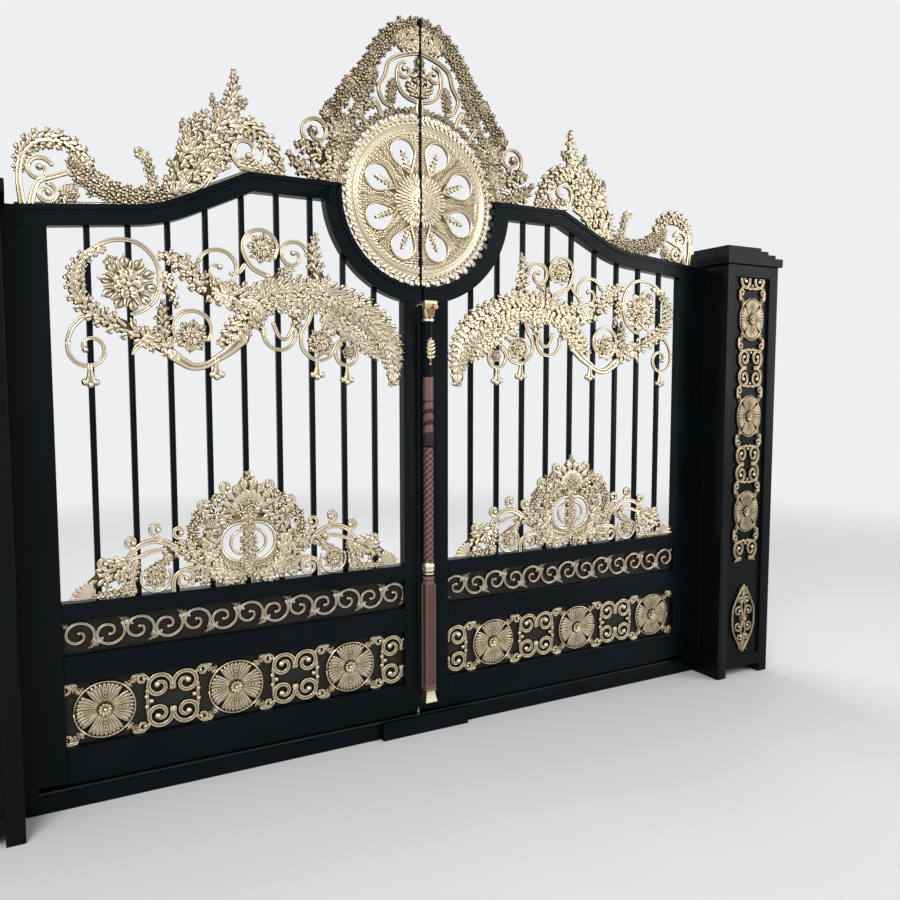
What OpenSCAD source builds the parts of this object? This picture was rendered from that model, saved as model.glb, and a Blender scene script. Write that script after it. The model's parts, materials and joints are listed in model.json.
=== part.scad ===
// Double-leaf driveway gate between two box posts, with cast scrollwork.
// X runs along the gate, the front faces -Y, Z is up. The origin is on the
// underside of the ground sill, below the line where the two leaves meet.

/* [Leaf frame] */
// Clear width between the two stiles of a leaf
opening_w = 1290; // [1150:10:1400]
// Width of the stile on the hinge side
hinge_stile_w = 100; // [80:5:130]
// Width of the left leaf's stile at the meeting line
left_meeting_w = 80; // [70:2:100]
// Width of the right leaf's stile at the meeting line, which carries the column
right_meeting_w = 114; // [106:2:130]
// Depth of the frame members, front to back
frame_t = 50; // [40:2:60]
// Height of the bottom rail
bottom_rail_h = 122; // [90:2:150]
// Height of the rosette panel's opening
panel_h = 225; // [200:5:260]
// Height of the rail between the two panels
middle_rail_h = 98; // [70:2:120]
// Height of the scroll band's opening
band_h = 122; // [100:2:150]
// Height of the rail under the bars
lock_rail_h = 63; // [50:1:90]

/* [Arched top] */
// Height of the top rail's level stretch above the ground
crown_z = 2242; // [2150:2:2350]
// In-plane width of the top rail and of the round hoop
top_rail_w = 70; // [50:2:80]
// How far the hoop's centre lies below the top of the level stretch
hoop_drop = 30; // [10:2:60]
// Inner radius of the hoop that holds the round medallion
hoop_r = 346; // [320:2:370]
// Distance from the meeting line to the corner where the rail turns down
corner_x = 705; // [650:5:760]
// Slope of the shoulder below that corner, in degrees
shoulder_slope = 25.5; // [20:0.5:30]
// Run of the straight part of the shoulder
shoulder_run = 235; // [180:5:260]
// Radius of the sweep at the foot of the shoulder
shoulder_r = 500; // [350:10:600]
// Slope of the low stretch beside the post, in degrees
eave_slope = 5.5; // [2:0.5:8]

/* [Bars] */
// Number of upright bars in a leaf
bar_count = 9; // [7:1:11]
// Side of a square bar
bar_w = 20; // [14:1:26]

/* [Gaps] */
// Gap between the two leaves
seam_gap = 10; // [8:1:16]
// How far left of that line the two stiles meet, so that the column stays on one leaf
meeting_step = 18; // [12:1:26]
// Gap between a leaf and its post
hinge_gap = 34; // [30:1:44]
// Gap under the leaves
floor_gap = 30; // [15:1:50]
// Gap at which one fixed piece seats on another
seat = 0.3; // [0.2:0.1:0.6]

/* [Posts and sill] */
// Side of a square post
post_w = 345; // [280:5:400]
// Height of a post without its cap
post_h = 2045; // [1900:5:2200]
// How far a post stands forward of the leaves' middle plane
post_front = 200; // [180:5:240]
// Width of the border round a post's sunk panel
post_border = 58; // [40:2:80]
// Depth of a post's sunk panel
post_recess = 14; // [8:1:20]
// Height of the open foot between a post's legs
foot_h = 45; // [30:1:70]
// Height of a post cap
cap_h = 100; // [80:2:130]
// Overhang of a post cap, which an open leaf passes
cap_out = 15; // [8:1:15]
// Height of the ground sill
sill_h = 60; // [40:1:80]
// Depth of the ground sill
sill_t = 60; // [50:1:90]

/* [Hinges] */
// Radius of a hinge barrel
barrel_r = 11; // [9:0.5:12]
// Length of one hinge knuckle
knuckle_h = 60; // [40:2:80]
// Radius of a hinge pin
pin_r = 6; // [4:0.5:7]
// Thickness of a hinge plate
strap_t = 8; // [5:0.5:10]

/* [Castings] */
// Thickness of the flat castings
cast_t = 14; // [8:1:20]
// Thickness of the medallion casting
medallion_t = 24; // [16:1:32]
// Height of the low crest on the rail under the bars
crest_h = 430; // [380:5:480]
// Rise of a top crest's spire above the level stretch of the top rail
spire_rise = 362; // [300:2:400]
// Rise of the pediment's tip above the level stretch of the top rail
pediment_rise = 698; // [600:2:740]
// Half width of the pediment where it stands on the top rail
pediment_half_w = 559; // [520:1:590]
// Width of the castings on a post
post_casting_w = 178; // [150:2:200]
// Height of the small oval casting on a post
post_oval_h = 345; // [300:5:380]
// Gap between the two castings on a post
post_casting_gap = 119; // [60:1:160]

/* [Column] */
// Radius of the turned column on the meeting stile
column_r = 25; // [20:1:28]
// Height of the column's cast foot
column_foot_h = 67; // [50:1:80]
// Height of the square shaft above the foot
square_shaft_h = 478; // [400:2:520]
// Height of the cast collar above the square shaft
collar_h = 47; // [36:1:60]
// Height of the twisted shaft
twist_h = 480; // [400:2:520]
// Height of the banded shaft
banded_h = 290; // [240:2:320]
// Height of the cast capital
capital_h = 66; // [50:1:80]

/* [Hidden] */
$fn = 96;

leaf_z = sill_h + floor_gap;
panel_z = leaf_z + bottom_rail_h;
middle_rail_z = panel_z + panel_h;
band_z = middle_rail_z + middle_rail_h;
lock_rail_z = band_z + band_h;
window_z = lock_rail_z + lock_rail_h;
hoop_z = crown_z - hoop_drop;
hoop_out_r = hoop_r + top_rail_w;
half_seam = seam_gap / 2;
leaf_clearance = 8;
bar_pitch = (opening_w + bar_w) / (bar_count + 1);
knuckle_zs = [leaf_z + 180, (leaf_z + crown_z) / 2 - 60, crown_z - 420];

// Sizes that differ between the two leaves, for side -1 (left) and 1 (right)
function meeting_w(side) = side < 0 ? left_meeting_w : right_meeting_w;
function opening_x(side) = half_seam + meeting_w(side);
function leaf_w(side) = meeting_w(side) + opening_w + hinge_stile_w;
function leaf_end(side) = half_seam + leaf_w(side);
function axis_x(side) = leaf_end(side) + hinge_gap / 2;
function post_x(side) = leaf_end(side) + hinge_gap;

// Mirrors what was drawn for the right-hand side to the side that is asked for
module to_side(side) {
  if (side < 0) mirror([1, 0, 0]) children();
  else children();
}

// Extrudes an outline drawn in X and Z, from y to y + t
module upright(y, t) {
  translate([0, y + t, 0]) rotate([90, 0, 0]) linear_extrude(t) children();
}

// Edge of the top rail, set down by off from its upper edge, out to x = end
sweep_x = corner_x + shoulder_run + shoulder_r * sin(shoulder_slope);
sweep_z = crown_z - shoulder_run * tan(shoulder_slope) + shoulder_r * cos(shoulder_slope);
function eave_z(x, off) =
  sweep_z - (shoulder_r + off) * cos(eave_slope)
  - (x - sweep_x + (shoulder_r + off) * sin(eave_slope)) * tan(eave_slope);
function rail_edge(off, start, end, up = 0) = [
  [start, crown_z - off + up],
  [corner_x - off * tan(shoulder_slope / 2), crown_z - off + up],
  for (i = [0 : 8])
    let (a = shoulder_slope + (eave_slope - shoulder_slope) * i / 8)
      [sweep_x - (shoulder_r + off) * sin(a), sweep_z - (shoulder_r + off) * cos(a) + up],
  [end, eave_z(end, off) + up]
];
function reversed(list) = [for (i = [len(list) - 1 : -1 : 0]) list[i]];

// Height of the window beside the hinge stile
function window_side_h(side) = eave_z(opening_x(side) + opening_w, top_rail_w) - window_z;

// Space inside a leaf's frame above the lock rail, shrunk at its top by gap
module window(side, gap) {
  difference() {
    polygon(concat(
      [[opening_x(side) + opening_w, window_z], [opening_x(side), window_z]],
      rail_edge(top_rail_w + gap, opening_x(side), opening_x(side) + opening_w)));
    translate([0, hoop_z]) circle(hoop_out_r + gap);
  }
}

// Posts, sill and stop
module ground_sill() {
  color("#15171a") translate([-post_x(-1), -sill_t / 2, 0])
    cube([post_x(-1) + post_x(1), sill_t, sill_h]);
}
module centre_stop() {
  color("#15171a") translate([-200, -sill_t / 2 - 26, 0]) cube([400, 26, sill_h + 14]);
}
module post(side) {
  inner = post_w - 2 * post_border;
  recess_h = post_recess_top - post_recess_z;
  color("#101214") to_side(side) translate([post_x(side), -post_front, 0]) difference() {
    cube([post_w, post_w, post_h]);
    translate([post_border, -1, post_recess_z]) cube([inner, post_recess + 1, recess_h]);
    translate([-1, post_border, post_recess_z])
      cube([post_recess + 1, post_front - post_border - sill_t, recess_h]);
    translate([post_border, -1, -1]) cube([inner, post_w / 3, foot_h + 1]);
  }
}
// Cap: a thick slab under three steps, each set in by step_in
module post_cap(side) {
  slab_h = 0.4 * cap_h;
  step_h = 0.2 * cap_h;
  step_in = 24;
  slab_out = min(cap_out, hinge_gap / 2 - 2);
  color("#101214") to_side(side) translate([post_x(side), -post_front, post_h])
    for (i = [0 : 3]) let (out = slab_out - i * step_in)
      translate([-out, -out, 0]) cube([post_w + 2 * out, post_w + 2 * out, slab_h + i * step_h]);
}
post_recess_z = foot_h + post_border;
post_recess_top = post_h - post_border;
post_oval_z = post_recess_z + 17;
post_panel_z = post_oval_z + post_oval_h + post_casting_gap;
post_panel_h = post_recess_top - 3 - post_panel_z;
module on_post(side, z) {
  color("#c9ae74") to_side(side) upright(-post_front + post_recess - cast_t, cast_t)
    translate([post_x(side) + post_w / 2, z]) children();
}
module post_scroll_panel(side) {
  on_post(side, post_panel_z) rotate(90) translate([0, -post_casting_w / 2])
    fitted([1400, rosette_drawn[1]], [post_panel_h, post_casting_w]) rosette_run(1400, 3, 475, 252);
}
oval_drawn = [150, 345];
module post_oval(side) {
  on_post(side, post_oval_z) fitted(oval_drawn, [0.85 * post_casting_w, post_oval_h]) joined() {
    for (x = [-1, 1], z = [-1, 1]) translate([0, oval_drawn[1] / 2]) scale([x, z]) {
      band(smooth([[74, -2], [70, 50], [44, 105], [14, 150], [-3, 170]]), [9, 9, 8]);
      volute([34, 38], 26, 6, 200, -400, 9);
      volute([22, 92], 18, 5, 230, -380, 8);
      band(smooth([[0, 0], [14, 60], [4, 110], [0, 160]]), [10, 9, 8]);
      leafy([[10, 120], [22, 138], [20, 160]], [14, 18, 6], 3);
    }
    translate([0, oval_drawn[1] / 2]) flower([0, 0], 30, 8);
  }
}

// Hinges: pins and lower knuckles on the post, upper knuckles on the leaf
module barrel(r, h, bore) {
  difference() {
    cylinder(r = r, h = h);
    if (bore > 0) translate([0, 0, -1]) cylinder(r = bore, h = h + 2);
  }
}
module hinge_pins(side) {
  color("#1b1d20") to_side(side) for (z = knuckle_zs) translate([axis_x(side), frame_t / 2, z]) {
    barrel(barrel_r, knuckle_h, 0);
    translate([0, 0, knuckle_h]) cylinder(r = pin_r, h = knuckle_h - 4);
    translate([0, -strap_t / 2, 0]) cube([hinge_gap / 2, strap_t, knuckle_h]);
  }
}
module hinge_knuckles(side) {
  color("#1b1d20") to_side(side)
    for (z = knuckle_zs) translate([axis_x(side), frame_t / 2, z + knuckle_h + 1]) difference() {
      union() {
        cylinder(r = barrel_r, h = knuckle_h);
        translate([-hinge_gap / 2, -strap_t, 0]) cube([hinge_gap / 2, strap_t, knuckle_h]);
      }
      translate([0, 0, -1]) cylinder(r = pin_r + 0.05, h = knuckle_h - 2);
    }
}

// Leaf frame
module hinge_stile(side) {
  x = opening_x(side) + opening_w;
  color("#101214") to_side(side) upright(-frame_t / 2, frame_t) polygon([
    [x, leaf_z], [x + hinge_stile_w, leaf_z],
    [x + hinge_stile_w, eave_z(x + hinge_stile_w, top_rail_w)], [x, eave_z(x, top_rail_w)]]);
}
module meeting_stile(side) {
  start = half_seam - side * meeting_step;
  color("#101214") to_side(side) upright(-frame_t / 2, frame_t) difference() {
    translate([start, leaf_z]) square([opening_x(side) - start, hoop_z - hoop_r - leaf_z]);
    translate([0, hoop_z]) circle(hoop_out_r + seat);
    if (side > 0) translate([start - 1, hoop_z - hoop_out_r - leaf_clearance])
      square([half_seam - start + 1, hoop_r]);
  }
}
module cross_rails(side) {
  color("#101214") to_side(side) translate([opening_x(side), -frame_t / 2, 0]) {
    translate([0, 0, leaf_z]) cube([opening_w, frame_t, bottom_rail_h]);
    translate([0, 0, middle_rail_z]) cube([opening_w, frame_t, middle_rail_h]);
    translate([0, 0, lock_rail_z]) cube([opening_w, frame_t, lock_rail_h]);
  }
}
module top_rail(side) {
  start = hoop_r + top_rail_w / 2;
  end = leaf_end(side);
  color("#101214") to_side(side) upright(-frame_t / 2, frame_t) difference() {
    union() {
      polygon(concat(rail_edge(0, start, end), reversed(rail_edge(top_rail_w, start, end))));
      intersection() {
        translate([0, hoop_z]) circle(hoop_out_r);
        translate([half_seam, hoop_z - hoop_out_r]) square([hoop_out_r, hoop_out_r + hoop_drop]);
      }
    }
    translate([0, hoop_z]) circle(hoop_r);
  }
}
module bars(side) {
  color("#101214") to_side(side) upright(-bar_w / 2, bar_w) intersection() {
    window(side, seat);
    for (i = [1 : bar_count])
      translate([opening_x(side) - bar_w + i * bar_pitch, window_z]) square([bar_w, crown_z]);
  }
}
module back_sheets(side) {
  color("#1a1a1a") to_side(side) translate([opening_x(side), 6, 0]) {
    translate([0, 0, panel_z]) cube([opening_w, 3, panel_h]);
    translate([0, 0, band_z]) cube([opening_w, 3, band_h]);
  }
}

// Ornament helpers: paths, and the bands, leaves, scrolls and flowers drawn from them
function smooth_at(p0, p1, p2, p3, t) = 0.5 * (2 * p1 + (p2 - p0) * t
  + (2 * p0 - 5 * p1 + 4 * p2 - p3) * t * t + (3 * p1 - p0 - 3 * p2 + p3) * t * t * t);
function smooth(points, n = 3) = let (last = len(points) - 1) [
  for (i = [0 : last - 1], k = [0 : n - 1])
    smooth_at(points[max(i - 1, 0)], points[i], points[i + 1], points[min(i + 2, last)], k / n),
  points[last]
];
function arc(c, r, start, sweep) = let (n = ceil(abs(sweep) / 20))
  [for (i = [0 : n]) c + r * [cos(start + sweep * i / n), sin(start + sweep * i / n)]];
function spiral(c, r0, r1, start, sweep) = let (n = ceil(abs(sweep) / 30)) [
  for (i = [0 : n]) let (r = r0 + (r1 - r0) * pow(i / n, 1.4), a = start + sweep * i / n)
    c + r * [cos(a), sin(a)]
];
function at(list, t) = let (s = t * (len(list) - 1), i = min(floor(s), len(list) - 2))
  list[i] + (list[i + 1] - list[i]) * (s - i);
function across(path, t) = let (d = at(path, min(t + 0.02, 1)) - at(path, max(t - 0.02, 0)))
  [-d[1], d[0]] / norm(d);
function edge(path, widths, t, share) = at(path, t) + across(path, t) * at(widths, t) * share / 2;

// Band along a path, with its widths spread evenly from start to end
module band(path, widths) {
  n = len(path) - 1;
  polygon([
    for (i = [0 : n]) edge(path, widths, i / n, 1),
    for (i = [n : -1 : 0]) edge(path, widths, i / n, -1)
  ]);
}
// Leaf along a path: on both sides, pointed lobes that lean towards its tip
module leafy(points, widths, lobes) {
  path = smooth(points);
  waist = 0.68;
  reach = 0.75;
  polygon([
    for (k = [0 : lobes - 1]) each
      [edge(path, widths, k / lobes, waist), edge(path, widths, (k + reach) / lobes, 1)],
    at(path, 1),
    for (k = [lobes - 1 : -1 : 0]) each
      [edge(path, widths, (k + reach) / lobes, -1), edge(path, widths, k / lobes, -waist)]
  ]);
}
// Scroll that winds in from radius r0 to r1 and ends in a ball
module volute(c, r0, r1, start, sweep, w = 12) {
  path = spiral(c, r0, r1, start, sweep);
  band(path, [w, w, 0.7 * w]);
  translate(at(path, 1)) circle(0.62 * w, $fn = 8);
}
module flower(c, r, petals = 8) {
  translate(c) polygon([for (i = [0 : 2 * petals - 1]) let (a = 180 * i / petals)
    (i % 2 == 0 ? r : 0.74 * r) * [cos(a), sin(a)]]);
}
// Bud that hangs from c: a stem that ends in three lobes
module bud(c, h) {
  translate(c) {
    polygon([[-0.08, 0.1], [0.08, 0.1], [0.14, -0.7], [-0.14, -0.7]] * h);
    for (x = [-0.22, 0, 0.22]) translate([x, abs(x) / 2 - 0.85] * h) circle(0.15 * h, $fn = 8);
  }
}
// Joins everything that was drawn into one clean outline
module joined() {
  offset(delta = 0.01) children();
}
// Stretches an outline drawn for a casting of one size to the size that is asked for
module fitted(drawn, size) {
  scale([size[0] / drawn[0], size[1] / drawn[1]]) children();
}

// Castings in the two bands
module scroll_band(side) {
  n = 13;
  drawn = [1290, 122];
  pitch = drawn[0] / n;
  color("#a89878") to_side(side) upright(6 - cast_t, cast_t) translate([opening_x(side), band_z])
    fitted(drawn, [opening_w, band_h]) intersection() {
      translate([1, 1]) square(drawn - [2, 2]);
      joined() for (i = [0 : n - 1]) let (c = [(i + 0.5) * pitch, 61], up = i % 2 == 0 ? 1 : -1) {
        volute(c, 58, 8, up > 0 ? 215 : 145, -up * 470, 11);
        leafy([c + [30, up * 30], c + [48, up * 42], c + [64, up * 50]], [8, 20, 8], 3);
      }
    }
}
rosette_drawn = [1290, 225];
module rosette(r) {
  difference() {
    union() {
      circle(0.97 * r, $fn = 32);
      for (a = [45 : 90 : 315]) rotate(a) leafy([[0.7, 0], [0.95, 0], [1.18, 0]] * r, [34, 34, 12], 2);
    }
    for (a = [45 : 90 : 315], b = [-9, 9]) rotate(a + b)
      polygon([[0.3, 0], [0.82, 0.06], [0.82, -0.06]] * r);
  }
}
// Four scrolls between two rosettes, about the middle of a band
module scroll_group(reach) {
  for (x = [-1, 1], z = [-1, 1]) scale([x, z]) {
    volute([48, 54], 50, 9, 200, -520, 13);
    leafy([[90, 46], [reach - 14, 22], [reach - 12, 0]], [14, 34, 30], 2);
    flower([100, 88], 20, 5);
    flower([reach + 3, 92], 19, 5);
  }
  leafy([[0, -58], [0, 0], [0, 58]], [18, 40, 18], 3);
}
// Rosettes at equal spacing along a band of the given length
module rosette_run(length, rosettes, pitch, first) {
  intersection() {
    translate([1, 1]) square([length - 2, rosette_drawn[1] - 2]);
    joined() for (i = [0 : rosettes]) translate([first + i * pitch, rosette_drawn[1] / 2]) {
      if (i < rosettes) rosette(106);
      translate([-pitch / 2, 0]) scroll_group(pitch / 2 - 103);
    }
  }
}
module rosette_band(side) {
  color("#c9ae74") to_side(side) upright(6 - cast_t, cast_t) translate([opening_x(side), panel_z])
    fitted(rosette_drawn, [opening_w, panel_h]) rosette_run(rosette_drawn[0], 3, 462, 238);
}

// Castings on the bars
crest_drawn = [1290, 430];
module crest_half() {
  leafy([[425, 118], [470, 96], [530, 66], [590, 36], [634, 14]], [60, 95, 90, 62, 16], 7);
  leafy([[400, 22], [480, 16], [560, 14], [632, 10]], [36, 34, 28, 16], 7);
  leafy([[398, 130], [414, 84], [430, 24]], [22, 40, 40], 4);
  band(smooth([[430, 135], [392, 175], [350, 190], [305, 185], [262, 158]]), [12, 16, 16, 22]);
  band(smooth([[420, 130], [385, 140], [350, 152], [305, 158]]), [10, 13, 12]);
  for (c = [[520, 126, 20], [428, 184, 44], [352, 232, 42], [261, 206, 32], [180, 308, 24],
    [92, 368, 24]]) volute([c[0], c[1]], c[2], 8, -85, 300, 11);
  band(arc([335, 58], 52, 150, 240), [10, 12, 10]);
  flower([335, 60], 46);
  leafy([[285, 142], [300, 112], [335, 98], [375, 84]], [24, 36, 34, 10], 4);
  volute([236, 40], 34, 8, 90, 420, 11);
  band(smooth([[185, 78], [241, 74], [272, 48], [276, -6]]), [16, 13, 14]);
  leafy([[110, 120], [190, 142], [250, 152], [312, 152]], [95, 84, 62, 30], 7);
  leafy([[90, 60], [165, 52], [222, 26]], [110, 70, 22], 6);
  difference() {
    union() {
      polygon(concat(smooth([[-1, 408], [60, 366], [132, 312], [184, 268], [204, 205], [208, 130],
        [170, 50], [140, -4]], 2), [[-1, -4]]));
      leafy([[200, 110], [204, 195], [186, 258], [132, 304], [66, 356], [8, 414]],
        [34, 44, 48, 48, 44, 20], 12);
    }
    difference() {
      union() {
        difference() {
          translate([30, 158]) circle(70, $fn = 40);
          translate([20, 158]) circle(47, $fn = 32);
        }
        translate([20, 158]) circle(36, $fn = 32);
      }
      leafy([[0, 250], [0, 158], [0, 60]], [70, 72, 70], 6);
    }
  }
}
module lower_crest(side) {
  color("#c9ae74") to_side(side) upright(-bar_w / 2 - cast_t, cast_t)
    translate([opening_x(side) + opening_w / 2, window_z])
    fitted(crest_drawn, [opening_w, crest_h]) intersection() {
      translate([-crest_drawn[0] / 2 + 2, 0]) square(crest_drawn - [4, -20]);
      joined() for (x = [-1, 1]) scale([x, 1]) crest_half();
    }
}
festoon_drawn = [1290, 1267];
module festoon_outline() {
  leafy([[700, 1070], [790, 1095], [840, 1150], [890, 1190], [942, 1196]], [120, 90, 80, 66, 24], 8);
  leafy([[730, 1072], [600, 1060], [500, 1085], [400, 1090], [300, 1075], [200, 1040], [120, 985],
    [68, 915], [48, 840], [44, 742]], [80, 120, 140, 145, 135, 140, 140, 120, 95, 40], 22);
  leafy([[590, 1055], [640, 985], [690, 930], [738, 892]], [110, 120, 95, 30], 7);
  leafy([[965, 895], [1060, 945], [1131, 973], [1190, 1020], [1215, 1076], [1206, 1132],
    [1175, 1180], [1110, 1208]], [56, 70, 68, 62, 58, 52, 44, 14], 15);
  leafy([[1000, 915], [934, 880], [880, 838]], [60, 66, 24], 5);
  leafy([[920, 870], [930, 940], [932, 1000], [931, 1045]], [50, 66, 54, 12], 6);
  leafy([[930, 1140], [905, 1075], [880, 1018]], [50, 52, 16], 4);
  leafy([[335, 1100], [367, 1179], [380, 1240], [372, 1290], [364, 1322]], [84, 70, 60, 42, 12], 9);
  leafy([[345, 1010], [262, 962], [200, 932], [150, 892], [112, 850]], [60, 84, 84, 70, 24], 8);
  leafy([[600, 1030], [592, 980], [570, 925]], [60, 44, 14], 4);
  leafy([[440, 1040], [446, 985], [448, 925]], [70, 54, 16], 4);
  leafy([[560, 1100], [500, 1160], [480, 1178], [450, 1180]], [60, 50, 34, 12], 4);
  band(smooth([[1185, 1182], [1122, 1226], [1062, 1242], [1004, 1232], [962, 1195], [941, 1147],
    [940, 1095], [957, 1043], [995, 1006], [1036, 990]]), [10, 13, 13, 13, 10]);
  band(smooth([[905, 855], [840, 814], [790, 816], [745, 842], [700, 872], [650, 920]]),
    [34, 22, 20, 26, 40]);
  band(smooth([[553, 1150], [615, 1180], [646, 1245], [628, 1297], [582, 1317], [538, 1300],
    [517, 1258], [528, 1215]]), [16, 13, 12, 10]);
  band(smooth([[385, 1030], [400, 985], [425, 940], [424, 888], [386, 847], [346, 842],
    [308, 862], [288, 900], [252, 930]]), [14, 13, 12, 14]);
  band(smooth([[536, 975], [520, 935], [498, 918], [476, 930], [460, 965]]), [12, 12]);
  band(arc([512, 940], 62, 15, -210), [12, 12]);
  band(arc([245, 866], 44, 140, 280), [12, 12]);
  band(smooth([[690, 1150], [660, 1158], [640, 1185]]), [12, 14]);
  band(arc([831, 945], 66, 215, -320), [12, 12]);
  band(smooth([[1190, 975], [1225, 936], [1240, 893]]), [14, 12]);
  band(smooth([[985, 900], [1020, 880], [1036, 852]]), [20, 8]);
  volute([1173, 870], 68, 14, 20, -400);
  volute([732, 1160], 78, 12, 20, 440);
  volute([456, 1231], 56, 10, 160, -430);
  flower([1042, 1092], 100, 10);
  flower([1095, 1160], 30, 6);
  flower([835, 920], 62);
  flower([576, 1248], 58);
  flower([352, 908], 58);
  flower([236, 872], 30, 6);
  bud([1173, 812], 78);
  bud([748, 842], 80);
  bud([366, 845], 82);
  bud([243, 824], 80);
}
module festoon(side) {
  color("#c9ae74") to_side(side) upright(-bar_w / 2 - cast_t, cast_t)
    translate([opening_x(side), window_z])
    fitted(festoon_drawn, [opening_w, window_side_h(side)]) joined() festoon_outline();
}

// Castings above the top rail: what lies above its edge, on a foot that follows it
module above_rail(from, to) {
  foot = 10;
  top = crown_z + 3 * hoop_r;
  intersection() {
    union() {
      children();
      polygon(concat(rail_edge(-foot, from, to), reversed(rail_edge(-seat, from, to))));
    }
    polygon(concat([[to, top], [from, top]], rail_edge(-seat, from, to)));
  }
}
top_crest_from = 560;
top_crest_drawn = [915, 362];
module top_crest(side) {
  start = pediment_half_w + 1;
  color("#c9ae74") to_side(side) upright(-cast_t / 2, cast_t)
    joined() above_rail(start, leaf_end(side) - 4) translate([start, crown_z])
    fitted(top_crest_drawn, [leaf_end(side) - start, spire_rise])
    translate([-top_crest_from, 0]) {
      leafy([[1438, -250], [1444, -175], [1446, -100], [1442, -40], [1418, 8], [1372, 32],
        [1310, 30], [1265, 0], [1232, -48]], [40, 46, 50, 52, 52, 54, 54, 50, 40], 18);
      volute([1389, -72], 42, 9, 150, -420);
      volute([1372, -146], 34, 8, 100, 420);
      band(smooth([[1428, -240], [1400, -120], [1350, -90], [1300, -70]]), [18, 14, 14]);
      flower([1281, -38], 32);
      flower([1265, -94], 22, 6);
      flower([1300, -140], 32);
      leafy([[1290, -110], [1318, -150], [1334, -225]], [26, 40, 30], 5);
      leafy([[1275, -60], [1220, -100], [1145, -124], [1070, -125], [985, -100]],
        [80, 100, 84, 78, 80], 14);
      leafy([[1035, -110], [1042, -40], [1060, 15], [1090, 30]], [44, 36, 34, 16], 6);
      volute([1078, 18], 20, 8, 60, 260, 10);
      leafy([[965, -110], [938, 10], [868, 85], [797, 152], [760, 230], [747, 305], [748, 362]],
        [120, 160, 160, 130, 96, 62, 14], 20);
      leafy([[940, -90], [870, -20], [800, 26]], [70, 70, 30], 7);
      band(smooth([[945, -130], [864, -71], [827, -18], [770, 14]]), [16, 14, 12]);
      volute([705, 62], 58, 12, 160, 440);
      leafy([[775, 120], [700, 128], [640, 92], [596, 50], [566, 14]], [96, 100, 88, 62, 20], 13);
      leafy([[740, 30], [650, 22], [570, 4]], [40, 46, 30], 7);
      leafy([[800, 190], [822, 232], [826, 262]], [30, 34, 8], 3);
      leafy([[760, 210], [716, 240], [702, 262]], [30, 36, 8], 3);
      leafy([[905, 90], [930, 128], [928, 160]], [30, 34, 8], 3);
    }
}
pediment_drawn = [559, 698];
module pediment(side) {
  color("#c9ae74") to_side(side) upright(-cast_t / 2, cast_t) joined()
    intersection() {
      difference() {
        union() {
          translate([0, hoop_z]) leafy(arc([0, 0], hoop_r + 12, 91, -86), [26, 26, 28, 34, 46, 60], 20);
          translate([0, crown_z]) fitted(pediment_drawn, [pediment_half_w, pediment_rise]) {
          leafy([[388, 250], [325, 345], [257, 425], [206, 495], [164, 566], [104, 622], [24, 682]],
            [66, 84, 80, 78, 86, 96, 36], 20);
          leafy([[0, 560], [20, 620], [10, 698]], [90, 100, 20], 6);
          leafy([[70, 590], [92, 640], [88, 684]], [50, 50, 12], 4);
          leafy([[90, 560], [50, 600], [0, 640]], [60, 90, 60], 5);
          band(smooth([[-4, 560], [50, 546], [98, 528], [134, 500], [152, 445], [178, 395],
            [160, 345], [128, 330]]), [14, 14, 12]);
          volute([64, 478], 34, 9, 90, -380, 12);
          band(smooth([[98, 480], [98, 435], [76, 390], [30, 368], [-4, 368]]), [13, 14]);
          leafy([[0, 372], [34, 420], [44, 470], [0, 520]], [40, 60, 50, 20], 6);
          flower([0, 452], 54, 10);
          leafy([[112, 440], [124, 395], [128, 350], [126, 298]], [18, 44, 40, 12], 5);
          leafy([[200, 470], [214, 400], [252, 350], [276, 300]], [30, 50, 50, 20], 6);
          band(smooth([[4, 372], [6, 340], [4, 318]]), [16, 20]);
          leafy([[188, 332], [250, 314], [290, 262], [325, 210], [342, 150], [346, 86]],
            [30, 46, 50, 54, 60, 60], 9);
          band(smooth([[166, 288], [180, 320], [198, 345]]), [16, 22]);
          band(smooth([[226, 234], [246, 266], [268, 292]]), [14, 20]);
          band(smooth([[288, 182], [306, 208], [322, 232]]), [14, 20]);
          volute([438, 186], 56, 12, -30, 430);
          leafy([[350, 60], [420, 100], [480, 130], [520, 125]], [110, 100, 74, 20], 8);
          leafy([[360, 12], [450, 26], [510, 52], [552, 98]], [60, 66, 60, 20], 9);
          leafy([[350, 180], [395, 250], [392, 305]], [70, 66, 14], 6);
          flower([300, 392], 34);
          flower([452, 186], 24, 6);
          }
        }
        translate([0, hoop_z]) circle(hoop_r + seat);
      }
      translate([half_seam, crown_z + seat]) square([pediment_half_w - half_seam, 3 * hoop_r]);
    }
}
medallion_petals = 8;
module medallion(side) {
  teeth = 44;
  r = hoop_r - seat;
  root = 0.925 * r;
  petal_r = 0.136 * r;
  petal_far = 0.58 * r;
  petal_near = 0.3 * r;
  tangent = acos(petal_r / (petal_far - petal_near));
  color("#c9ae74") to_side(side) upright(-medallion_t / 2, medallion_t)
    intersection() {
      translate([half_seam, hoop_z - hoop_r]) square([hoop_r, 2 * hoop_r]);
      joined() translate([0, hoop_z]) {
        difference() {
          polygon([for (i = [0 : teeth - 1], k = [0 : 3])
            let (a = 360 * (i + [0, 0.1, 0.45, 0.55][k]) / teeth)
              [root, r, r, root][k] * [cos(a), sin(a)]]);
          for (i = [0 : medallion_petals - 1]) rotate((i + 0.5) * 360 / medallion_petals) {
            translate([petal_far, 0]) circle(petal_r, $fn = 32);
            polygon([[petal_near, 0],
              [petal_far - petal_r * cos(tangent), petal_r * sin(tangent)],
              [petal_far - petal_r * cos(tangent), -petal_r * sin(tangent)]]);
          }
        }
        for (i = [0 : medallion_petals - 1]) rotate((i + 0.5) * 360 / medallion_petals)
          leafy([[0.2, 0], [0.45, 0], [0.62, 0]] * r, [50, 34, 8], 6);
      }
    }
}

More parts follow.
